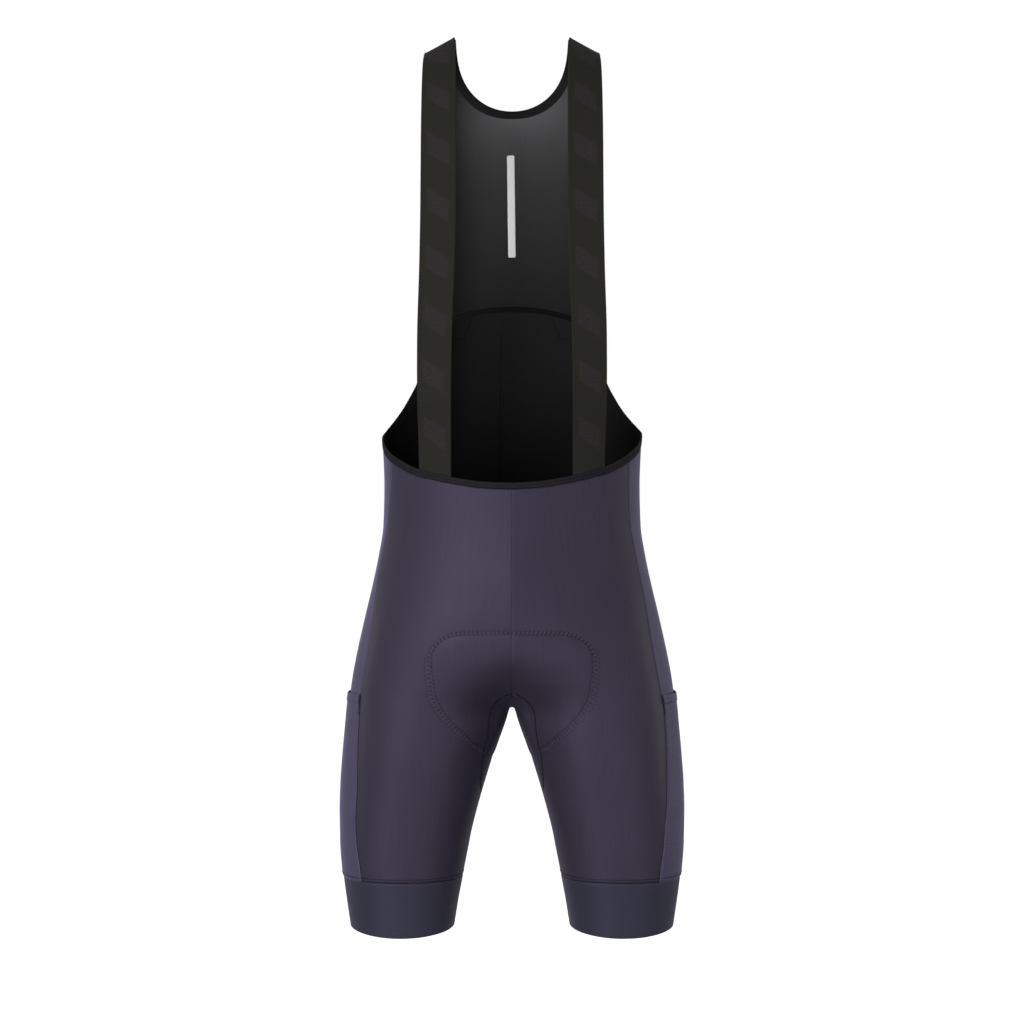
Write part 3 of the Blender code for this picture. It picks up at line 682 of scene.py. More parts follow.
def paintedLightFade(tree, grain, shown, paintedLight):  # painted light: lighter up the cloth, most under the neck; painted shade: darker to its sides
    depth = paintedLight["depth"]
    high = addNode(tree, "ShaderNodeMath", {0: grain[1], 1: paintedLight["top"]}, operation="MINIMUM")
    climb = addNode(tree, "ShaderNodeMath", {0: high.outputs[0], 1: paintedLight["slope"], 2: paintedLight["level"]},
                    operation="MULTIPLY_ADD")
    wide = addNode(tree, "ShaderNodeMath", {0: grain[0], 1: 1 / paintedLight["wide"]}, operation="MULTIPLY")
    deep = addNode(tree, "ShaderNodeMath", {0: grain[1], 1: 1 / depth, 2: -paintedLight["top"] / depth},
                   operation="MULTIPLY_ADD")
    spot = addNode(tree, "ShaderNodeCombineXYZ", {0: wide.outputs[0], 1: deep.outputs[0]})
    far = addNode(tree, "ShaderNodeVectorMath", {0: spot.outputs[0]}, operation="LENGTH")
    near = addNode(tree, "ShaderNodeMath", {0: far.outputs["Value"], 1: -1.0}, operation="MULTIPLY")
    glow = addNode(tree, "ShaderNodeMath", {0: near.outputs[0]}, operation="EXPONENT")
    lit = addNode(tree, "ShaderNodeMath", {0: glow.outputs[0], 1: paintedLight["glow"], 2: climb.outputs[0]},
                  operation="MULTIPLY_ADD")
    tilt = addNode(tree, "ShaderNodeMath", {0: grain[0], 1: -paintedLight["bend"], 2: paintedLight["side"]},
                   operation="MULTIPLY_ADD")
    aside = addNode(tree, "ShaderNodeMath", {0: grain[0], 1: tilt.outputs[0], 2: 1.0},
                    operation="MULTIPLY_ADD")
    both = addNode(tree, "ShaderNodeMath", {0: lit.outputs[0], 1: aside.outputs[0]}, operation="MULTIPLY")
    share = addNode(tree, "ShaderNodeMath", {0: both.outputs[0], 1: paintedLight["least"]}, operation="MAXIMUM")
    return addNode(tree, "ShaderNodeVectorMath", {0: shown, "Scale": share.outputs[0]},
                   operation="SCALE").outputs[0]


def paintedShadeToEnds(tree, grain, shown, ends):  # painted shade: darker towards both ends of a tape
    past = addNode(tree, "ShaderNodeMath", {0: grain[1], 1: ends["middle"]}, operation="SUBTRACT")
    far = addNode(tree, "ShaderNodeMath", {0: past.outputs[0]}, operation="ABSOLUTE")
    share = addNode(tree, "ShaderNodeMapRange", {0: far.outputs[0], 1: ends["near"], 2: ends["far"], 3: 1.0,
                                                 4: ends["share"]})
    return addNode(tree, "ShaderNodeVectorMath", {0: shown, "Scale": share.outputs[0]},
                   operation="SCALE").outputs[0]


def hatched(tree, grain, shown, hatch):  # leaning bars of slanted lines, woven in along the tape
    soft = hatch["soft"]
    place = addNode(tree, "ShaderNodeUVMap", uv_map="grain")
    patch = addNode(tree, "ShaderNodeTexNoise",
                    {"Vector": place.outputs[0], "Scale": 1 / hatch["patch"], "Detail": 3.0})
    lean = addNode(tree, "ShaderNodeMath", {0: grain[0], 1: hatch["lean"], 2: grain[1]},
                   operation="MULTIPLY_ADD")
    fold = addNode(tree, "ShaderNodeMath", {0: lean.outputs[0], 1: hatch["step"] / 2}, operation="PINGPONG")
    bar = addNode(tree, "ShaderNodeMapRange",
                  {0: fold.outputs[0], 1: hatch["bar"] - soft, 2: hatch["bar"] + soft, 3: 1.0, 4: 0.0})
    away = addNode(tree, "ShaderNodeMath", {0: grain[0]}, operation="ABSOLUTE")
    inner = addNode(tree, "ShaderNodeMapRange",
                    {0: away.outputs[0], 1: hatch["half"] - soft, 2: hatch["half"] + soft, 3: 1.0, 4: 0.0})
    slant = addNode(tree, "ShaderNodeMath", {0: grain[0], 1: hatch["slant"], 2: grain[1]},
                    operation="MULTIPLY_ADD")
    wave = ribs(tree, slant.outputs[0], hatch["pitch"])
    lines = addNode(tree, "ShaderNodeMapRange", {0: wave, 1: -0.5, 2: 0.7})
    where = addNode(tree, "ShaderNodeMath", {0: bar.outputs[0], 1: inner.outputs[0]}, operation="MULTIPLY")
    drawn = addNode(tree, "ShaderNodeMath", {0: lines.outputs[0], 1: where.outputs[0]}, operation="MULTIPLY")
    broken = addNode(tree, "ShaderNodeMapRange", {0: patch.outputs["Fac"], 1: 0.35, 2: 0.65, 3: 0.25, 4: 0.8})
    worn = addNode(tree, "ShaderNodeMath", {0: drawn.outputs[0], 1: broken.outputs[0]}, operation="MULTIPLY")
    figure = addNode(tree, "ShaderNodeMix", {0: worn.outputs[0], 6: shown}, data_type="RGBA")
    figure.inputs[7].default_value = linear(hatch["yarn"])
    return figure.outputs[2]


def knit(spec, **look):  # ribs one way, uneven yarn tone along them, and a bump to match
    made = finish(**look)
    tree = made.node_tree
    shader = tree.nodes["Principled BSDF"]
    grain = addNode(tree, "ShaderNodeUVMap", uv_map="grain")
    split = addNode(tree, "ShaderNodeSeparateXYZ", {0: grain.outputs[0]}).outputs
    along = 0 if spec["ribsUp"] else 1
    scale = [1 / spec["streakLength"]] * 2 + [1.0]
    scale[along] = 1 / spec["streakWidth"]
    stretch = addNode(tree, "ShaderNodeMapping", {"Vector": grain.outputs[0], "Scale": scale})
    streak = addNode(tree, "ShaderNodeTexNoise", {"Vector": stretch.outputs[0], "Scale": 1.0, "Detail": 3.0})
    speck = addNode(tree, "ShaderNodeTexNoise",
                    {"Vector": grain.outputs[0], "Scale": 1 / spec["speck"], "Detail": 2.0})
    ridge = ribs(tree, split[along], spec["pitch"])
    middle = 0.5 - (spec["streakTone"] + spec["speckTone"]) / 2
    tone = addNode(tree, "ShaderNodeMath", {0: streak.outputs["Fac"], 1: spec["streakTone"], 2: middle},
                   operation="MULTIPLY_ADD")
    for fact, share in ((speck.outputs["Fac"], "speckTone"), (ridge, "ribTone")):
        tone = addNode(tree, "ShaderNodeMath", {0: fact, 1: spec[share], 2: tone.outputs[0]},
                       operation="MULTIPLY_ADD")
    colour = addNode(tree, "ShaderNodeMix", {0: tone.outputs[0]}, data_type="RGBA")
    colour.inputs[6].default_value = linear(spec["dark"])
    colour.inputs[7].default_value = linear(spec["light"])
    shown = colour.outputs[2]
    # painted light and painted shade are laid over the colour here, where a spec asks for them
    for extra, draw in (("hatch", hatched), ("paintedLight", paintedLightFade), ("ends", paintedShadeToEnds)):
        if extra in spec:
            shown = draw(tree, split, shown, spec[extra])
    tree.links.new(shown, shader.inputs["Base Color"])
    height = addNode(tree, "ShaderNodeMath", {0: ridge, 1: 0.5, 2: speck.outputs["Fac"]},
                     operation="MULTIPLY_ADD")
    bump = addNode(tree, "ShaderNodeBump", {"Height": height.outputs[0], "Strength": spec["bump"],
                                            "Distance": spec["relief"] * mm})
    tree.links.new(bump.outputs[0], shader.inputs["Normal"])
    return made


# Nylon and elastane warp knit, dyed through: smooth, a little silky, with faint upright wales
wales = dict(ribsUp=True, pitch=2.6, ribTone=0.05, streakWidth=1.6, streakLength=60.0, speck=1.4)
bodyKnit = knit(dict(wales, dark="2F2C38", light="3B3746", streakTone=0.9, speckTone=0.35, bump=0.25,
                     relief=0.12),
                name="nylon elastane warp knit, dyed plum", colour="36323F", rough=0.56, gloss=0.42,
                shine="E0D2FF", sheen=0.2, sheenRough=0.35, sheenTint="B4A8DC")
# Inside of the dyed panels: the knit's own back, brushed and darker, its colour darkened much further as
# painted shade for the garment's dark inside
insideKnitPaintedShade = knit(dict(wales, dark="09080C", light="0D0C11", streakTone=0.5, speckTone=0.3, bump=0.2,
                       relief=0.1),
                  name="nylon knit, brushed back, darkened by painted shade", colour="0B0A0E", rough=0.9, gloss=0.1)
# Cross-ribbed pocket knit, dyed through: lighter and more open, with fine level ribs
sideKnit = knit(dict(dark="3E3B4D", light="524E64", ribsUp=False, pitch=3.1, ribTone=0.08, streakWidth=2.2,
                     streakLength=26.0, streakTone=0.5, speck=1.6, speckTone=0.5, bump=0.4, relief=0.2),
                name="nylon cross-ribbed knit, dyed plum", colour="484559", rough=0.58, gloss=0.45,
                shine="E0D2FF", sheen=0.5, sheenRough=0.4, sheenTint="BBB2EC")
# Raw-cut elastic leg band, woven with fine cross yarns: denser, bluer and quite matt
gripperKnit = knit(dict(dark="2A2935", light="363543", ribsUp=False, pitch=1.9, ribTone=0.05, streakWidth=1.5,
                        streakLength=14.0, streakTone=0.6, speck=1.7, speckTone=0.7, bump=0.35, relief=0.15),
                   name="nylon power band, dyed plum", colour="2F2F3C", rough=0.6, gloss=0.45,
                   shine="D8D6FF", sheen=0.2, sheenRough=0.5, sheenTint="B4B6E0")
# Black lower-back knit: dull, so it swallows light. Inside, painted light and painted shade make it lighter
# at the top and darker and darker towards the waist
bibYarn = dict(ribsUp=True, pitch=2.8, streakWidth=1.8, streakLength=40.0, speck=1.6, relief=0.12)
bibKnit = knit(dict(bibYarn, dark="0D0D0E", light="161616", ribTone=0.05, streakTone=0.5, speckTone=0.4,
                    bump=0.2),
               name="polyester bib knit, black", colour="111112", rough=0.85, gloss=0.15)
bibInsidePaintedShading = knit(dict(bibYarn, dark="101011", light="181819", ribTone=0.04, streakTone=0.4, speckTone=0.3,
                      bump=0.15,
                      # painted light at the top and painted shade down towards the waist
                      paintedLight=dict(top=-270.0, slope=0.0074, level=3.75, glow=0.0, depth=20.0, wide=40.0,
                                side=0.0075, bend=0.00009, least=0.2)),
                 name="polyester bib knit, black, inside", colour="141415", rough=0.85, gloss=0.15)
# Power mesh, black: fine upright ribs. Inside, painted light makes it lighter up towards the neck, most just
# under it, and painted shade darker lower down and to its sides
meshYarn = dict(ribsUp=True, pitch=3.2, streakWidth=1.9, streakLength=80.0, speck=1.3, speckTone=0.3,
                relief=0.2)
meshKnit = knit(dict(meshYarn, dark="1E1E1F", light="2F2F30", ribTone=0.12, streakTone=0.5, bump=0.3),
                name="polyester power mesh, black", colour="262627", rough=0.8, gloss=0.2)
meshInsidePaintedLight = knit(dict(meshYarn, dark="222223", light="2A2A2B", ribTone=0.06, streakTone=0.35, bump=0.15,
                       # painted light towards the neck and painted shade lower down and to the sides
                       paintedLight=dict(top=-55.0, slope=0.0093, level=3.17, glow=9.0, depth=22.0, wide=34.0,
                                 side=0.0058, bend=0.0001, least=0.2)),
                  name="polyester power mesh, black, inside", colour="262627", rough=0.8, gloss=0.2)
# Folded elastic binding, black: a narrow rib with a dull face, and painted shade that darkens it round the
# armholes
bindingTapeShadedEnds = knit(dict(dark="151419", light="24232A", ribsUp=True, pitch=1.8, ribTone=0.2, streakWidth=1.4,
                        streakLength=7.0, streakTone=0.9, speck=1.3, speckTone=0.9, bump=0.7, relief=0.3,
                        ends=dict(middle=702.0, near=176.0, far=190.0, share=0.08)),
                   name="folded elastic binding, black", colour="1C1B21", rough=0.75, gloss=0.22)
# Plain black tricot with almost no shine: folded round the neck, and duller pressed flat over the back seam
tricot = dict(ribsUp=True, pitch=2.0, ribTone=0.1, streakWidth=1.2, streakLength=9.0, streakTone=0.3,
              speck=1.2, speckTone=0.3, bump=0.3, relief=0.12)
neckTape = knit(dict(tricot, dark="1E1E1E", light="282828"),
                name="folded tricot binding, black", colour="232323", rough=0.9, gloss=0.1)
seamTape = knit(dict(tricot, dark="101010", light="181818"),
                name="flat tricot seam tape, black", colour="141414", rough=0.9, gloss=0.1)
# Brushed pad cover over foam, black: soft and quite matt
padCover = knit(dict(dark="131216", light="1D1C21", ribsUp=True, pitch=2.4, ribTone=0.03, streakWidth=3.0,
                     streakLength=6.0, streakTone=0.3, speck=2.2, speckTone=0.6, bump=0.3, relief=0.2),
                name="brushed microfibre over foam, black", colour="17161B", rough=0.9, gloss=0.15, sheen=0.4,
                sheenRough=0.6)
# Elastic shoulder tape, woven black, with a tonal hatch of leaning bars
strapWeave = knit(dict(dark="20201D", light="2D2C28", ribsUp=False, pitch=2.2, ribTone=0.12, streakWidth=1.2,
                       streakLength=20.0, streakTone=0.4, speck=1.1, speckTone=0.3, bump=0.4, relief=0.15,
                       hatch=dict(step=57.0, bar=11.0, soft=1.2, lean=0.6, half=11.5, slant=-0.8, pitch=2.6,
                                  patch=2.2, yarn="3D373E")),
                  name="woven elastic tape, black", colour="272723", rough=0.85, gloss=0.18)
# Heat-pressed transfer strip: smooth film in light grey
transferFilm = finish("heat transfer film, light grey", "FAFAFA", rough=0.45)
# Textured polyester sewing thread, dyed to match each cloth: a little glossy on top, dull where it lies deep
thread = finish("polyester sewing thread, plum black", "15121C", rough=0.7, gloss=0.2)
padThread = finish("polyester sewing thread, dark plum", "1E1B24", rough=0.6, gloss=0.3)
plumThread = finish("polyester sewing thread, plum", "332F3C", rough=0.6, gloss=0.3)
lightThread = finish("polyester looper thread, light plum", "464154", rough=0.55, gloss=0.4)
blackThread = finish("polyester sewing thread, black", "0B0B0D", rough=0.8, gloss=0.12)
deepThread = finish("polyester sewing thread, dull black", "050505", rough=0.9, gloss=0.03)
print("finishes made")


# The panels of the shorts. Flat sizes are in metres, and each cut is the flat shape's area in square metres
frontCut = dict(flat=(0.174, 0.42), cut=0.0637, columns=56, topRows=34, width=170.0, wall=0.9)
sideCut = dict(flat=(0.118, 0.44), cut=0.0448, columns=30, topRows=34, width=110.0, wall=0.9)
backCut = dict(flat=(0.178, 0.395), cut=0.0575, columns=44, topRows=19, width=170.0, wall=0.9)


def bentPanel(places, side, edges, padded=False, flatSeam=None, hollowAt=None, forward=False):
    turn, tape = places
    grid = surface(turn, tape)
    u = lengths(grid)[0]
    lift = seamDip(grid, edges, flatSeam)
    relief = forkRise(grid, u) + seamRidge(grid) if forward else np.zeros(u.shape)
    if padded:
        lift = lift + padRise(grid, turn, tape)
    if hollowAt:
        lift = lift - valley(hipHollow, grid, u if hollowAt == "first" else u[:, -1:] - u)
    grid = grid + gridNormals(grid, hipCore) * lift[..., None] + ahead * relief[..., None]
    middle = grid.shape[1] // 2
    return sided(grid, side), u - u[:, middle:middle + 1], tape


def sewPanel(name, side, cut, start, end, top, fabric, slot, edges, **ways):
    places = panelPlaces(start, end, top, cut)
    cloth = clothPiece(f"{name}_{handOf(side)}_cloth", [bentPanel(places, side, edges, **ways)], cut["wall"],
                       [fabric, insideKnitPaintedShade], inner=1)
    sewn(cloth, [f"{name}_panel_{handOf(side)}"])


for side in (1, -1):
    frontSide, backSide = (lambda tape, edge=edge: sideSeam(side, edge, tape) for edge in ("front", "back"))
    edges = ("first", "last", "bottom")
    sewPanel("front", side, frontCut, frontStart, frontSide, edgeTop(side), bodyKnit, "body_fabric", edges,
             padded=True, flatSeam="first", hollowAt="last", forward=True)
    sewPanel("side", side, sideCut, frontSide, backSide, edgeTop(side), sideKnit, "side_fabric", edges,
             hollowAt="first")
    sewPanel("back", side, backCut, backSide, backEnd, yoke(side), bodyKnit, "body_fabric", edges + ("top",),
             padded=True, flatSeam="last")
print("shorts panels made")

# Leg grippers: one band round each leg. Its raw hem curls a little and is cut higher at the leg's two sides
gripperCut = dict(flat=(0.36, 0.056), cut=None, rows=24, columns=144, wall=1.1, hemSteps=(0, 0.3, 0.8, 1.6),
                  inner=4.0, curl=0.45, curlHeight=1.2, hemRise=2.9, hemDrop=1.6, hemHeight=40.0,
                  hemSide=0.95, hemCurve=1.8)
for side in (1, -1):
    hand = handOf(side)
    tapes = np.concatenate([levels["hem"] + np.array(gripperCut["hemSteps"]),
                            np.linspace(levels["hem"] + gripperCut["inner"],
                                        levels["gripper"] - gripperCut["inner"], gripperCut["rows"]),
                            levels["gripper"] - np.array(weave["edgeSteps"][::-1])])
    turn, tape = np.meshgrid(np.linspace(0, 360, gripperCut["columns"] + 1), tapes)
    grid = surface(turn, tape)
    u = lengths(grid)[0]
    fromHem = tape - levels["hem"]
    curl = gripperCut["curl"] * np.clip(1 - fromHem / gripperCut["curlHeight"], 0, 1) ** 2
    nearHem = np.clip(1 - fromHem / gripperCut["hemHeight"], 0, 1)
    toSides = np.minimum(np.abs(np.cos(np.radians(turn))) / gripperCut["hemSide"], 1)
    hemLift = mix(-gripperCut["hemDrop"], gripperCut["hemRise"], toSides ** gripperCut["hemCurve"])
    grid = grid + outward(turn, tape) * (seamDip(grid, ("top",)) - curl)[..., None]
    grid[..., 2] += nearHem * hemLift
    band = clothPiece(f"gripper_{hand}_band", [(sided(grid, side), u, tape)], gripperCut["wall"],
                      [gripperKnit], core=legCore)
    sewn(band, [f"leg_gripper_{hand}"])

# Side pockets: a second layer on each thigh, open at the top with a turned hem
pocketCut = dict(flat=(0.118, 0.19), cut=0.0215, columns=34, width=100.0, wall=0.8, clear=0.3, bulge=1.2,
                 bulgeIn=0.25, bulgeUp=150.0, hem=8.5, hemRise=0.7, hemEase=0.9, lip=0.35, lipEase=0.7,
                 hemStart=10.5, hemSteps=(-9.5, -8.6, -8.0, -7.6, -6.5, -4, -1.6, -0.7, -0.2, 0))
for side in (1, -1):
    hand = handOf(side)
    shares = seamShares(pocketCut["columns"], pocketCut["width"])
    tapes = np.concatenate([legTapes[legTapes < levels["fork"] - pocketCut["hemStart"]],
                            levels["fork"] + np.array(pocketCut["hemSteps"])])
    turn = np.array([mix(sideSeam(side, "front", t), sideSeam(side, "back", t), shares) for t in tapes])
    tape = np.broadcast_to(tapes[:, None], turn.shape)
    grid = surface(turn, tape)
    u = lengths(grid)[0]
    overFold = tape - levels["fork"]
    bulge = smooth(np.minimum(shares, 1 - shares)[None, :] / pocketCut["bulgeIn"])
    bulge = pocketCut["bulge"] * bulge * smooth((tape - levels["gripper"]) / pocketCut["bulgeUp"])
    lift = pocketCut["clear"] + bulge + seamDip(grid, ("first", "last", "bottom"))
    lift = lift - valley(hipHollow, grid, u)
    lift = lift + pocketCut["hemRise"] * smooth((overFold + pocketCut["hem"]) / pocketCut["hemEase"])
    lift = lift - pocketCut["lip"] * smooth((overFold + pocketCut["lipEase"]) / pocketCut["lipEase"])
    grid = sided(grid + gridNormals(grid, hipCore) * lift[..., None], side)
    u = u - u[:, u.shape[1] // 2][:, None]
    pocket = clothPiece(f"pocket_{hand}_cloth", [(grid, u, tape)], pocketCut["wall"], [sideKnit],
                        outwards=True)
    sewn(pocket, [f"side_pocket_{hand}"])

# Inner gusset: one piece under the fork and down the inside of both legs
gussetCut = dict(flat=(0.143, 0.43), cut=0.0266, rows=64, crowd=1.4, even=0.985, lastRows=(0.99, 0.995, 1.0),
                 columns=36, wall=0.9, width=60.0, sink=1.3, sinkWidth=5.0)


def gussetTurn(tape, share):
    return mix(gusset("front", tape), gusset("back", tape), share)


def gussetPlaces():
    shares = seamShares(gussetCut["columns"], gussetCut["width"])
    middle = gussetTurn(levels["fork"], shares)
    first = forkHeight(middle)
    first[0] = first[-1] = levels["fork"]
    rows = []
    steps = np.linspace(0, 1, gussetCut["rows"]) ** gussetCut["crowd"] * gussetCut["even"]
    for down in np.concatenate([steps, gussetCut["lastRows"]]):
        tape = mix(first, levels["gripper"], down)
        ease = (middle - gussetTurn(first, shares)) * (1 - down) ** shape["gussetEase"]
        rows.append((gussetTurn(tape, shares) + ease, tape))
    return gathered(rows)


turn, tape = gussetPlaces()
grid = surface(turn, tape)
grid[0, :, 0] = 0.0
out = gridNormals(grid, legCore)
out[0, :, 0] = 0.0
out[0] /= np.linalg.norm(out[0], axis=-1, keepdims=True)
fromSeam = lengths(grid)[0]
toSeams = np.minimum(fromSeam, fromSeam[:, -1:] - fromSeam)
lift = seamDip(grid, ("top",)) + padRise(grid, turn, tape)
lift = lift - gussetCut["sink"] * np.exp(-toSeams / gussetCut["sinkWidth"])
relief = frontShare(grid) * forkRise(grid, fromSeam)
grid = grid + out * lift[..., None] + ahead * relief[..., None]
u = lengths(grid)[0]
gussetCloth = clothPiece("inner_gusset_cloth", [(grid, u, tape), (sided(grid, -1), -u, tape)],
                         gussetCut["wall"], [bodyKnit, insideKnitPaintedShade], core=legCore, inner=1)
sewn(gussetCloth, ["inner_gusset"])
print("leg pieces made")

# The bib: lower back, seam tape, mesh and neck. The tape has two welts with a flat between
bibCut = dict(flat=(0.285, 0.215), cut=0.0427, rows=60, columns=40, wall=0.9)
bandCut = dict(width=6.5, tuck=1.2, rise=0.45, wall=2.0, inner=(0.7, 0.2),
               across=(0, 0.05, 0.13, 0.2, 0.27, 0.35, 0.5, 0.65, 0.73, 0.8, 0.87, 0.95, 1.0),
               welts=(0.1, 0.6, 1.0, 1.15, 1.0, 0.7, 0.6, 0.7, 1.0, 1.15, 1.0, 0.6, 0.1))
meshCut = dict(flat=(0.165, 0.34), cut=0.038, rows=50, columns=30, neckRows=40, wall=0.7)


def bothHalves(lowOf, offset, rows):  # each row runs from the right edge over the middle to the left edge
    halves = []
    high = lambda turn, share: bandTape(share, offset)
    for side in (1, -1):
        turn, tape = backPlaces(side, bibCut["columns"], lowOf(side), high, rows)
        grid = surface(turn, tape)
        halves.append((sided(grid, side), lengths(grid)[0] * side, tape))
    return [np.concatenate([right[:, :0:-1], left], axis=1) for left, right in zip(*halves)]


def overYoke(side):
    seam = yoke(side)
    return lambda turn, share: seam(turn)


grid, u, v = bothHalves(overYoke, -bandCut["tuck"], np.linspace(0, 1, bibCut["rows"] + 1))
grid = grid + gridNormals(grid, trunkCore) * seamDip(grid, ("bottom",))[..., None]
bib = clothPiece("lower_back_cloth", [(grid, u, v)], bibCut["wall"], [bibKnit, bibInsidePaintedShading], inner=1)
sewn(bib, ["lower_back_bib"])


def underBand(side):
    return lambda turn, share: bandTape(share, -bandCut["width"] / 2)


grid, u, v = bothHalves(underBand, bandCut["width"] / 2, bandCut["across"])
out = gridNormals(grid, trunkCore)
welts = np.array(bandCut["welts"])[:, None, None]
outer = grid + out * (bandCut["rise"] * welts)
inner = np.clip(welts * bandCut["inner"][0] + bandCut["inner"][1], 0, 1)
inside = grid - out * (bandCut["wall"] - bandCut["rise"]) * inner
tapeBand = twoFaced("back_seam_tape", [(outer, inside, v, u)], [seamTape])
sewn(tapeBand, ["back_seam_band"])


def meshHalf():  # up to the lowest point of the neck, and then out to a tab beside it
    shares = np.linspace(0, 1, meshCut["columns"] + 1)
    hole = armhole(1)
    rimTurn, rimTape = inset(*neckEdge(meshCut["neckRows"]), waist["tuck"], keepEnds=False)
    rimTurn[-1], rimTape[0] = 270.0, body.last
    rimTurn, rimTape = rimTurn[::-1], rimTape[::-1]
    low = lambda turn, share: bandTape(share, bandCut["tuck"])
    high = lambda turn, share: np.full(len(share), rimTape[0])
    turn, tape = backPlaces(1, meshCut["columns"], low, high, np.linspace(0, 1, meshCut["rows"] + 1))
    tabTurn, tabTape = gathered([(mix(t, hole(p), shares), np.full(len(shares), p))
                                 for t, p in zip(rimTurn[1:], rimTape[1:])])
    return np.concatenate([turn, tabTurn]), np.concatenate([tape, tabTape])


turn, tape = meshHalf()
grid = surface(turn, tape)
grid[: meshCut["rows"] + 1, 0, 0] = 0.0
u = grid[..., 0]
meshBack = clothPiece("upper_back_cloth", [(grid, u, tape), (sided(grid, -1), -u, tape)], meshCut["wall"],
                      [meshKnit, meshInsidePaintedLight], inner=1)
sewn(meshBack, ["upper_back_mesh"])

# Bindings: elastic tape folded over the cut edge, both ends closed
foldCut = dict(rise=0.45, under=1.35, wall=0.5, points=260, neckPoints=110, arcSteps=9,
               steps=((binding["width"], -0.12), (binding["width"] - 0.3, -0.03), (7.0, 0), (5.0, 0),
                      (3.0, 0)))


def foldProfile():  # distance in from the cut edge, and height over the cloth's face
    high, low = foldCut["rise"], -foldCut["under"]
    radius = (high - low) / 2
    turns = np.radians(np.linspace(90, 270, foldCut["arcSteps"]))
    arc = [(radius + radius * math.cos(turn), (high + low) / 2 + radius * math.sin(turn)) for turn in turns]
    over = [(distance, high + thin) for distance, thin in foldCut["steps"]]
    return over + arc + [(distance, low - thin) for distance, thin in foldCut["steps"][::-1]]


def foldHalf(line, side):
    rows = []
    for distance, height in foldProfile():
        at = inset(*line, distance) if distance > 0 else line
        rows.append(surface(*at) + outward(*at) * height)
    return sided(np.array(rows), side)


def foldedBinding(name, halves, fabric, node):
    grid = np.concatenate(halves, axis=1)
    u, v = lengths(grid)
    piece = clothPiece(name, [(grid, v, np.broadcast_to(u[:1], u.shape))], foldCut["wall"], [fabric], row=0)
    sewn(piece, [node])


left, right = (foldHalf(topEdge(side, foldCut["points"]), side) for side in (1, -1))
foldedBinding("edge_binding_tape", [right[:, :0:-1], left], bindingTapeShadedEnds, "edge_binding")
left, right = (foldHalf(neckEdge(foldCut["neckPoints"]), side) for side in (1, -1))
foldedBinding("neck_binding_tape", [left, right[:, -2::-1]], neckTape, "neck_binding")
print("bib made")

# Straps: woven elastic, from inside the front waist over the crown and down the outside of the back
strapCut = dict(flat=(0.036, 0.82), cut=None, width=36.0, wall=1.2, clear=0.6, tuckTop=-370.0, tuckDepth=65.0,
                turnOver=140.0, frontRows=150, backRows=110, crowd=1.5, liftOver=30.0, selvedge=0.25,
                beadIn=1.6, beadWidth=0.9, rounding=0.6)
strapSteps = np.array([0, 0.008, 0.02, 0.04, 0.065, 0.09])
strapShares = np.concatenate([strapSteps, np.linspace(0.12, 0.88, 13), 1 - strapSteps[::-1]])
strapAcross = (strapShares - 0.5) * strapCut["width"]


def strapFrontRow(tape, across):
    lean = np.radians(strapLine("roll", tape))
    x = strapLine("middle", tape) + across * np.cos(lean)
    over = smooth(1 + (tape - strapLine.last) / strapCut["turnOver"])
    y = -strapLine("depth", tape) + across * np.sin(lean) * (1 - over)
    z = strapLine("height", tape) - across * np.sin(lean) * over
    under = binding["wall"] - binding["proud"] + strapCut["clear"] + strapCut["wall"]
    waistline = surface(360 - backTurn(x, tape), tape)[:, 1] + under / np.cos(lean)
    inside = smooth((strapCut["tuckTop"] - tape) / strapCut["tuckDepth"])
    return np.column_stack([x, mix(y, waistline, inside), z])


def strapBackRow(tape, across):
    lean = np.arctan(body("slope", tape))
    x = strapDown("middle", body("height", tape)) + across * np.cos(lean)
    return surface(backTurn(x, tape), tape)


def strapGrid():
    up = np.linspace(1, 0, strapCut["frontRows"] + 1) ** strapCut["crowd"]
    down = np.linspace(0, 1, strapCut["backRows"] + 1)[1:] ** strapCut["crowd"]
    front = [strapFrontRow(tape, strapAcross) for tape in mix(strapLine.last, levels["strapHem"], up)]
    back = [strapBackRow(tape, strapAcross) for tape in mix(body.last, tapeAt(levels["strapEnd"]), down)]
    grid = np.array(front + back)
    length = pathLength(grid[:, grid.shape[1] // 2])
    past = (length - length[strapCut["frontRows"]]) / strapCut["liftOver"]
    return grid, length[:, None], ((binding["proud"] + strapCut["clear"]) * smooth(1 + past))[:, None]


strapHalf, strapLength, strapClear = strapGrid()
fromEdge = strapCut["width"] / 2 - np.abs(strapAcross)
bead = strapCut["selvedge"] * np.exp(-((fromEdge - strapCut["beadIn"]) / strapCut["beadWidth"]) ** 2)
rounded = np.sqrt(np.clip(1 - np.clip(1 - fromEdge / strapCut["rounding"], 0, 1) ** 2, 0.02, 1))
halfWall = strapCut["wall"] / 2
for side in (1, -1):
    hand = handOf(side)
    grid = sided(strapHalf, side)
    out = gridNormals(grid, trunkCore)
    upper, lower = (grid + out * (strapClear + halfWall + face * (halfWall + bead) * rounded)[..., None]
                    for face in (1, -1))
    u = np.broadcast_to(strapAcross * side, grid.shape[:2])
    v = np.broadcast_to(strapLength, grid.shape[:2])
    strap = twoFaced(f"strap_{hand}_elastic", [(upper, lower, u, v)], [strapWeave])
    sewn(strap, [f"strap_{hand}"])

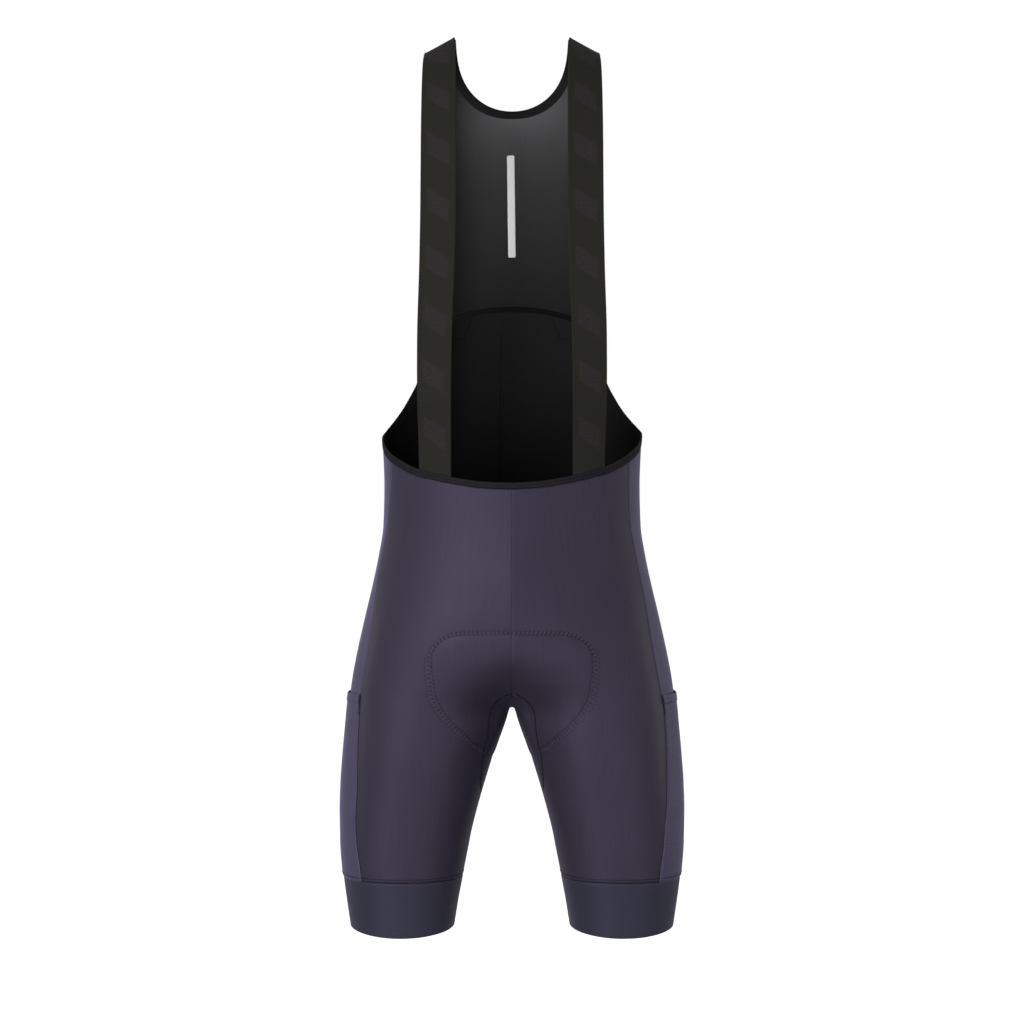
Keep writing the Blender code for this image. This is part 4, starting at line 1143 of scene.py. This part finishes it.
# Label: a bare strip pressed onto the inside of the mesh, with rounded corners
labelCut = dict(width=8.1, top=-102.5, bottom=-210.0, middleTop=-1.4, middleBottom=0.0, corner=1.6, inner=4.0,
                wall=0.3, clear=0.03, rows=30)
corner, bottom, top = labelCut["corner"], labelCut["bottom"], labelCut["top"]
ends = corner * (1 - np.cos(np.radians(np.linspace(0, 90, 7))))
heights = np.concatenate([bottom + ends, np.linspace(bottom + labelCut["inner"], top - labelCut["inner"],
                                                     labelCut["rows"]), top - ends[::-1]])
toEnd = np.minimum(heights - bottom, top - heights)
narrow = corner - np.sqrt(np.clip(corner**2 - np.clip(corner - toEnd, 0, None) ** 2, 0, None))
across = np.linspace(-1, 1, 9)[None, :] * (labelCut["width"] / 2 - narrow)[:, None]
middle = np.interp(heights, [bottom, top], [labelCut["middleBottom"], labelCut["middleTop"]])
x = middle[:, None] + across
tape = np.broadcast_to(tapeAt(heights)[:, None], x.shape)
grid = surface(backTurn(np.abs(x), tape), tape)
grid[..., 0] *= np.sign(x)
out = gridNormals(grid, trunkCore)
under = meshCut["wall"] + labelCut["clear"]
filmLayer = grid - out * under, grid - out * (under + labelCut["wall"]), across, tape
label = twoFaced("back_label_film", [filmLayer], [transferFilm])
sewn(label, ["back_label"])
print("straps and label made")

# Seat pad: foam in two heights under one cover, thin at its edge, with channels that let it fold. The upper
# foam starts some way behind the middle of the depth, in from the edge and beside the middle, and eases in
padCut = dict(rows=70, columns=150, clear=1.1, forkClear=6.0, forkReach=26.0, edge=1.6, base=4.6,
              edgeEase=9.0, cushion=3.2, cushionFrom=dict(back=15.0, edge=14.0, middle=8.0),
              cushionEase=dict(back=22.0, edge=12.0, middle=10.0),
              channel=2.2, channelAt=2.0, channelWidth=3.0, channelFrom=4.0, channelEase=6.0,
              curve=0.8, curveAt=17.0, curveWidth=2.0, curveFrom=10.0, curveEase=8.0, skin=0.5, fill=0.6)
padTurns = np.linspace(pad.first, pad.last, padCut["columns"] + 1)
padFork = forkHeight(padTurns)
onMiddle = pad("upper", padTurns) > padFork
turn = np.broadcast_to(padTurns, (padCut["rows"] + 1, len(padTurns)))
down = np.linspace(0, 1, padCut["rows"] + 1)[:, None]
tape = mix(np.minimum(pad("upper", padTurns), padFork)[None], pad("lower", padTurns)[None], down)
grid = surface(turn, tape)
grid[0, onMiddle, 0] = 0.0
out = gridNormals(grid, legCore)
out[0, onMiddle, 0] = 0.0
out /= np.linalg.norm(out, axis=-1, keepdims=True)
fromSeam = np.abs(turn - frontStart(tape)) * np.linalg.norm(slopes(turn, tape)[0], axis=-1)
sunk = forkRise(grid, fromSeam) * frontShare(grid)
forkPoint = surface(middleTurn(levels["fork"], False), levels["fork"])
toFork = np.linalg.norm(grid - forkPoint, axis=-1)
clear = padCut["clear"] + padCut["forkClear"] * np.exp(-(toFork / padCut["forkReach"]) ** 2)
fromEdge = np.min(np.linalg.norm(grid[:, :, None] - padPoints[None, None, ::2], axis=-1), axis=-1)
inside = (tape > pad("lower", turn) + padCut["skin"]) & (tape < pad("upper", turn) - padCut["skin"])
fromEdge[~inside] = 0.0
x, y = grid[..., 0], grid[..., 1]
cushion = padCut["cushion"]
for name, away in (("back", y), ("edge", fromEdge), ("middle", x)):
    cushion = cushion * smooth((away - padCut["cushionFrom"][name]) / padCut["cushionEase"][name])
channel = padCut["channel"] * np.exp(-((x - padCut["channelAt"]) / padCut["channelWidth"]) ** 2)
channel = channel * smooth((fromEdge - padCut["channelFrom"]) / padCut["channelEase"])
curve = padCut["curve"] * np.exp(-((fromEdge - padCut["curveAt"]) / padCut["curveWidth"]) ** 2)
curve = curve * smooth((x - padCut["curveFrom"]) / padCut["curveEase"])
thick = mix(padCut["edge"], padCut["base"], smooth(fromEdge / padCut["edgeEase"])) + cushion - channel - curve
faceOut = grid - out * clear[..., None] + ahead * sunk[..., None]
faceIn = faceOut - out * thick[..., None]
faceOut[0, onMiddle, 0] = faceIn[0, onMiddle, 0] = 0.0
halves = [(faceOut, faceIn, x, tape), (sided(faceOut, -1), sided(faceIn, -1), -x, tape)]
seatPad = twoFaced("seat_pad_foam", halves, [padCover])
sewn(seatPad, ["seat_pad"])
print("pad made")


# Seams: rows of thread laid along lines, by Geometry Nodes. Every stitch is a small bead, far coarser than
# real thread in its faces but true in length and width
def stitchTree():
    tree = bpy.data.node_groups.new("stitches", "GeometryNodeTree")
    made = {}
    for label, kind, value in (("Line", "NodeSocketGeometry", None), ("Pitch", "NodeSocketFloat", 0.0028),
                               ("Stitch length", "NodeSocketFloat", 0.0022),
                               ("Thread radius", "NodeSocketFloat", 0.0003),
                               ("Slant", "NodeSocketFloat", 0.0), ("Thread", "NodeSocketMaterial", None)):
        socket = tree.interface.new_socket(name=label, in_out="INPUT", socket_type=kind)
        if value is not None:
            socket.default_value = value
        made[label] = socket.identifier
    tree.interface.new_socket(name="Stitches", in_out="OUTPUT", socket_type="NodeSocketGeometry")
    given = addNode(tree, "NodeGroupInput").outputs
    curve = addNode(tree, "GeometryNodeMeshToCurve", {"Mesh": given["Line"]})
    places = addNode(tree, "GeometryNodeCurveToPoints", {"Curve": curve.outputs[0], "Length": given["Pitch"]},
                     mode="LENGTH")
    facing = addNode(tree, "GeometryNodeInputNamedAttribute", {"Name": "out"}, data_type="FLOAT_VECTOR")
    upright = addNode(tree, "FunctionNodeAlignRotationToVector", {"Vector": facing.outputs[0]}, axis="Z")
    along = addNode(tree, "FunctionNodeAlignRotationToVector",
                    {"Rotation": upright.outputs[0], "Vector": places.outputs["Tangent"]}, axis="X",
                    pivot_axis="Z")
    slant = addNode(tree, "FunctionNodeAxisAngleToRotation",
                    {"Axis": (0.0, 0.0, 1.0), "Angle": given["Slant"]})
    leaning = addNode(tree, "FunctionNodeRotateRotation",
                      {"Rotation": along.outputs[0], "Rotate By": slant.outputs[0]}, rotation_space="LOCAL")
    bead = addNode(tree, "GeometryNodeMeshUVSphere", {"Segments": 6, "Rings": 4, "Radius": 1.0})
    half = addNode(tree, "ShaderNodeMath", {0: given["Stitch length"], 1: 0.5}, operation="MULTIPLY")
    size = addNode(tree, "ShaderNodeCombineXYZ",
                   {0: half.outputs[0], 1: given["Thread radius"], 2: given["Thread radius"]})
    laid = addNode(tree, "GeometryNodeInstanceOnPoints",
                   {"Points": places.outputs["Points"], "Instance": bead.outputs[0],
                    "Rotation": leaning.outputs[0], "Scale": size.outputs[0]})
    real = addNode(tree, "GeometryNodeRealizeInstances", {0: laid.outputs[0]})
    smoothed = addNode(tree, "GeometryNodeSetShadeSmooth", {0: real.outputs[0]})
    dyed = addNode(tree, "GeometryNodeSetMaterial",
                   {"Geometry": smoothed.outputs[0], "Material": given["Thread"]})
    addNode(tree, "NodeGroupOutput", {0: dyed.outputs[0]})
    return tree, made


stitches, stitchInputs = stitchTree()


def faceOf(*names):
    shown = bpy.context.evaluated_depsgraph_get()
    return [BVHTree.FromObject(bpy.data.objects[name], shown) for name in names]


drop = dict(above=7.0, reach=24.0)  # a line starts above the surface and reaches down for cloth


def settle(points, outs, faces, sink=0.0, aside=0.0):  # lays a line on the cloth; points off it are left out
    laid, facing = [], []
    ways = (1, -1) if aside else (0,)  # in a seam both lips are felt, so the line can't fall between them
    across = np.cross(np.gradient(points, axis=0), outs)
    across /= np.maximum(np.linalg.norm(across, axis=1, keepdims=True), 1e-9)
    for point, out, cross in zip(points, outs, across):
        depths = []
        for way in ways:
            start = point + out * drop["above"] + cross * aside * way
            hits = [tree.ray_cast(Vector(start * mm), Vector(-out), drop["reach"] * mm)[3] for tree in faces]
            depths += [min((hit for hit in hits if hit is not None), default=None)]
        if None not in depths:
            laid.append(point + out * (drop["above"] - sum(depths) / len(depths) / mm - sink))
            facing.append(out)
    return np.array(laid), np.array(facing)


def sewLines(name, lines, yarn, row):
    mesh = bpy.data.meshes.new(name)
    points, outs = (np.concatenate(parts) for parts in zip(*lines))
    edges, start = [], 0
    for line, _ in lines:
        edges += [(start + i, start + i + 1) for i in range(len(line) - 1)]
        start += len(line)
    mesh.from_pydata((points * mm).tolist(), edges, [])
    facing = mesh.attributes.new("out", "FLOAT_VECTOR", "POINT")
    facing.data.foreach_set("vector", outs.reshape(-1).astype(np.float32))
    mesh.materials.append(yarn)
    piece = bpy.data.objects.new(name, mesh)
    bpy.context.scene.collection.objects.link(piece)
    sewing = piece.modifiers.new("stitches", "NODES")
    sewing.node_group = stitches
    given = {"Pitch": row["pitch"] * mm, "Stitch length": row["length"] * mm,
             "Thread radius": row["radius"] * mm, "Slant": math.radians(row.get("slant", 0.0)),
             "Thread": yarn}
    for label, value in given.items():
        sewing[stitchInputs[label]] = value
    plain = bpy.data.meshes.new_from_object(piece.evaluated_get(bpy.context.evaluated_depsgraph_get()))
    piece.modifiers.remove(sewing)
    piece.data = plain
    bpy.data.meshes.remove(mesh)
    print(f"{name}: {len(plain.polygons)} faces")
    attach(piece, "root")


def lineOn(turn, tape, side=1, middle=False):
    turn, tape = np.broadcast_arrays(np.asarray(turn, dtype=float), np.asarray(tape, dtype=float))
    points, outs = surface(turn, tape), outward(turn, tape)
    if middle:
        points[:, 0] = outs[:, 0] = 0.0
        outs = outs / np.linalg.norm(outs, axis=1, keepdims=True)
    return sided(points, side), sided(outs, side)


def clothNames(*parts):
    return [f"{part}_{hand}_cloth" for part in parts for hand in ("left", "right")]


# Side seams, gusset seams, middle seams and the yoke: dark thread down in each seam. The gusset's lines
# have extra points near the fork
outerFaces = faceOf(*clothNames("front", "side", "back", "pocket"), "inner_gusset_cloth", "lower_back_cloth")
seamRow = dict(pitch=2.3, length=2.5, radius=0.3, sink=0.35, aside=0.5, step=3.0, top=-380.0, frontTop=-467.0)
gussetRow = dict(seamRow, radius=1.0, sink=0.15, step=2.0, near=(1, 0.5, 0.1))
middleRow = dict(seamRow, radius=0.28, sink=0.12)
topRow = dict(pitch=2.9, length=2.2, radius=0.24)
gripperTop, fork = levels["gripper"], levels["fork"]

panelLines, arches, middles = [], [], []
for side in (1, -1):
    for edge in ("front", "back"):
        tapes = np.arange(gripperTop + 1, seamRow["top"], seamRow["step"])
        turns = sideSeam(side, edge, tapes)
        under = tapes < edgeTop(side, waist["seamTuck"])(turns)
        panelLines.append(lineOn(turns[under], tapes[under], side))
    tapes = np.arange(gripperTop + 1, fork - 1, gussetRow["step"])
    tapes = np.append(tapes, fork - np.array(gussetRow["near"]))
    for edge in ("front", "back"):
        arches.append(lineOn(gusset(edge, tapes), tapes, side))
    turns = np.linspace(sideSeam(side, "back", levels["yoke"]), 270, 80)
    panelLines.append(lineOn(turns, yoke(side)(turns), side))
for back, top in ((False, seamRow["frontTop"]), (True, levels["yoke"])):
    tapes = np.arange(fork + 2, top, middleRow["step"])
    middles.append(lineOn(middleTurn(tapes, back), tapes, middle=True))
for name, lines, yarn, row in (("seam_stitches", panelLines, thread, seamRow),
                               ("gusset_stitches", arches, thread, gussetRow),
                               ("middle_stitches", middles, plumThread, middleRow)):
    lines = [settle(*line, outerFaces, row["sink"], row["aside"]) for line in lines]
    sewLines(name, lines, yarn, row)

# Gripper tops: two rows, one above the join and one down in it
gripperRow = dict(pitch=2.4, length=2.4, radius=0.42, rise=3.8, sink=0.1, aside=0.5)
gripperFaces = outerFaces + faceOf("gripper_left_band", "gripper_right_band")
lines = []
for side in (1, -1):
    turns = np.linspace(0, 360, 200)
    lines.append(settle(*lineOn(turns, gripperTop + gripperRow["rise"], side), gripperFaces))
    join = lineOn(turns, gripperTop, side)
    lines.append(settle(*join, gripperFaces, gripperRow["sink"], gripperRow["aside"]))
sewLines("gripper_stitches", lines, thread, gripperRow)

# Pocket hems, and a bar of thread down each top corner
hemRow = dict(topRow, under=7.5, sink=0.05, inward=2.0)
tackRow = dict(pitch=0.8, length=2.6, radius=0.3, slant=80.0, sink=-0.25, bottom=-19.0, top=3.0)
lines, bars = [], []
for side in (1, -1):
    tape = fork - hemRow["under"]
    ends = [sideSeam(side, edge, tape) for edge in ("front", "back")]
    turns = np.linspace(ends[0] + hemRow["inward"], ends[1] - hemRow["inward"], 60)
    lines.append(settle(*lineOn(turns, tape, side), outerFaces, hemRow["sink"]))
    for edge in ("front", "back"):
        tapes = np.linspace(fork + tackRow["bottom"], fork + tackRow["top"], 30)
        bars.append(settle(*lineOn(sideSeam(side, edge, tapes), tapes, side), outerFaces, tackRow["sink"]))
sewLines("pocket_stitches", lines, thread, hemRow)
sewLines("pocket_bar_tacks", bars, thread, tackRow)

# The pad's outline shows on the outside: slanted stitches over its edge, and a row just inside and outside
# it. The dark crossings start one point later, so they lie between the light ones
padRow = dict(pitch=4.3, sink=0.05, yarn=padThread, first=1)
padSlant = dict(padRow, slant=66.0, inward=-0.2)
padRows = (
    dict(padRow, name="pad_needle_stitches", inward=2.8, length=3.5, radius=0.6),
    dict(padSlant, name="pad_looper_stitches", length=5.6, radius=0.4, sink=0.0, yarn=lightThread),
    dict(padSlant, name="pad_cross_stitches", length=5.4, radius=0.45, sink=0.1, first=2),
    dict(padRow, name="pad_edge_stitches", inward=-3.2, length=2.2, radius=0.5),
)
panelFaces = faceOf(*clothNames("front", "back"))
for row in padRows:
    at = inset(padTurn, padTape, row["inward"])
    lines = [settle(*lineOn(*at, side), panelFaces, row["sink"]) for side in (1, -1)]
    lines = [[part[row["first"]:] for part in line] for line in lines]
    sewLines(row["name"], lines, row["yarn"], row)

# Bindings: two rows of stitches along each, and rows along the back seam tape
bindingRow = dict(pitch=3.9, length=3.0, radius=0.3, edges=(3.0, 5.9), neck=5.8)
bandRow = dict(topRow, shares=(0.24, 0.76), end=0.97, inside=3.0)
bindingFaces = faceOf("edge_binding_tape", "neck_binding_tape", "back_seam_tape")
lines = []
for side in (1, -1):
    for inward in bindingRow["edges"]:
        lines.append(settle(*lineOn(*inset(*topEdge(side, 500), inward), side), bindingFaces))
    lines.append(settle(*lineOn(*inset(*neckEdge(120), bindingRow["neck"]), side), bindingFaces))
sewLines("binding_stitches", lines, blackThread, bindingRow)
lines = []
shares = np.linspace(0, bandRow["end"], 90)
for side in (1, -1):
    for share in bandRow["shares"]:
        tapes = bandTape(shares, (share - 0.5) * bandCut["width"])
        points, outs = lineOn(mix(270.0, armhole(side)(tapes), shares), tapes, side)
        lines.append(settle(points, outs, bindingFaces))
        lines.append(settle(points - outs * bandRow["inside"], -outs, bindingFaces))
sewLines("seam_tape_stitches", lines, blackThread, bandRow)

# Strap ends: a box with a diagonal, stitched on the outside of the back
boxRow = dict(topRow, half=14.0, bottom=-296.0, top=-276.0, steps=14)
corners = ((-1, "bottom"), (1, "bottom"), (1, "top"), (-1, "top"), (-1, "bottom"), (1, "top"))
strapFaces = faceOf("strap_left_elastic", "strap_right_elastic")
lines = []
for side in (1, -1):
    for (aside, low), (bside, high) in zip(corners[:-1], corners[1:]):
        heights = np.linspace(boxRow[low], boxRow[high], boxRow["steps"])
        x = strapDown("middle", heights) + np.linspace(aside, bside, boxRow["steps"]) * boxRow["half"]
        tapes = tapeAt(heights)
        lines.append(settle(*lineOn(backTurn(x, tapes), tapes, side), strapFaces))
sewLines("strap_box_stitches", lines, blackThread, boxRow)

# Inside of the lower back: a cornered row from each strap's reinforcement, and one seam down near the middle
insideRow = dict(pitch=2.6, length=2.5, radius=0.3, corners=((43.5, -277), (52, -300), (68, -300)),
                 seamAt=12.5, seamTop=-292.0, seamEnd=-452.0)
backFaces = faceOf("lower_back_cloth")
rows, lines = [], []
for side in (1, -1):
    for (aside, high), (bside, low) in zip(insideRow["corners"][:-1], insideRow["corners"][1:]):
        rows.append((np.linspace(aside, bside, 12), tapeAt(np.linspace(high, low, 12)), side))
tapes = np.arange(insideRow["seamEnd"], insideRow["seamTop"], 4.0)
rows.append((np.full(len(tapes), insideRow["seamAt"]), tapes, -1))
for x, tapes, side in rows:
    points, outs = lineOn(backTurn(x, tapes), tapes, side)
    lines.append(settle(points, -outs, backFaces))
sewLines("inside_stitches", lines, deepThread, insideRow)
print("seams sewn")


# Light and floor
studio = dict(backdrop="FFFFFF", behind=0.62, front=0.01, below=0.25,
              floor="FFFFFF", glow=0.8, floorHeight=-1.5, floorSize=30.0)
lights = (
    dict(name="softbox by the camera", place=(-1.35, -2.4, 0.4), aim=(0, 0, -0.6), size=1.25, power=55.0),
    dict(name="low softbox in front", place=(0.0, -3.0, -1.0), aim=(0, 0, -0.75), size=1.0, power=6.5),
    dict(name="low lamp on the right", place=(0.9, -1.8, -1.5), aim=(0.05, 0, -0.8), size=1.0, power=8.5),
    dict(name="low lamp on the left", place=(-0.9, -1.5, -1.5), aim=(0.1, 0, -0.75), size=0.8, power=9.0),
    dict(name="fill on the right", place=(2.2, -1.6, -0.4), aim=(0, 0, -0.7), size=1.2, power=10.5),
    dict(name="lamp behind on the right", place=(2.3, 0.5, -0.6), aim=(0.1, 0, -0.65), size=1.0, power=4.0),
    dict(name="fill on the left", place=(-2.2, -1.2, -0.2), aim=(0, 0, -0.55), size=1.2, power=3.0),
)
# White all round to the eye. As light it is a white wall behind, with a dim room in front and below
world = bpy.data.worlds.new("studio")
bpy.context.scene.world = world
world.use_nodes = True
room = world.node_tree
backdrop = room.nodes["Background"]
backdrop.inputs["Color"].default_value = linear(studio["backdrop"])
towards = addNode(room, "ShaderNodeTexCoord")
split = addNode(room, "ShaderNodeSeparateXYZ", {0: towards.outputs["Generated"]})
wall = addNode(room, "ShaderNodeMapRange",
               {0: split.outputs["Y"], 1: -0.3, 2: 0.4, 3: studio["front"], 4: studio["behind"]},
               interpolation_type="SMOOTHSTEP")
down = addNode(room, "ShaderNodeMapRange",
               {0: split.outputs["Z"], 1: -0.6, 2: 0.1, 3: studio["below"], 4: 1.0},
               interpolation_type="SMOOTHSTEP")
share = addNode(room, "ShaderNodeMath", {0: wall.outputs[0], 1: down.outputs[0]}, operation="MULTIPLY")
seen = addNode(room, "ShaderNodeLightPath")
strength = addNode(room, "ShaderNodeMath", {0: seen.outputs["Is Camera Ray"], 1: share.outputs[0]},
                   operation="MAXIMUM")
room.links.new(strength.outputs[0], backdrop.inputs["Strength"])
bpy.context.scene.view_settings.view_transform = "Standard"
for one in lights:
    lamp = bpy.data.objects.new(one["name"], bpy.data.lights.new(one["name"], "AREA"))
    bpy.context.scene.collection.objects.link(lamp)
    lamp.data.size = one["size"]
    lamp.data.energy = one["power"]
    lamp.location = one["place"]
    way = np.array(one["aim"]) - np.array(one["place"])
    lamp.rotation_euler = (math.atan2(math.hypot(way[0], way[1]), -way[2]), 0, math.atan2(-way[0], way[1]))

far, low = studio["floorSize"] / 2, studio["floorHeight"]
floorMesh = bpy.data.meshes.new("floor")
floorCorners = [(-far, -far, low), (far, -far, low), (far, far, low), (-far, far, low)]
floorMesh.from_pydata(floorCorners, [], [(0, 1, 2, 3)])
floor = bpy.data.objects.new("floor", floorMesh)
bpy.context.scene.collection.objects.link(floor)
paint = finish("matt studio paint, pale", studio["floor"], rough=0.9)
glowing = paint.node_tree.nodes["Principled BSDF"].inputs
glowing["Emission Color"].default_value = linear(studio["floor"])
glowing["Emission Strength"].default_value = studio["glow"]
floorMesh.materials.append(paint)
# The room's own light below stands for what the floor throws back
floor.visible_diffuse = floor.visible_glossy = False
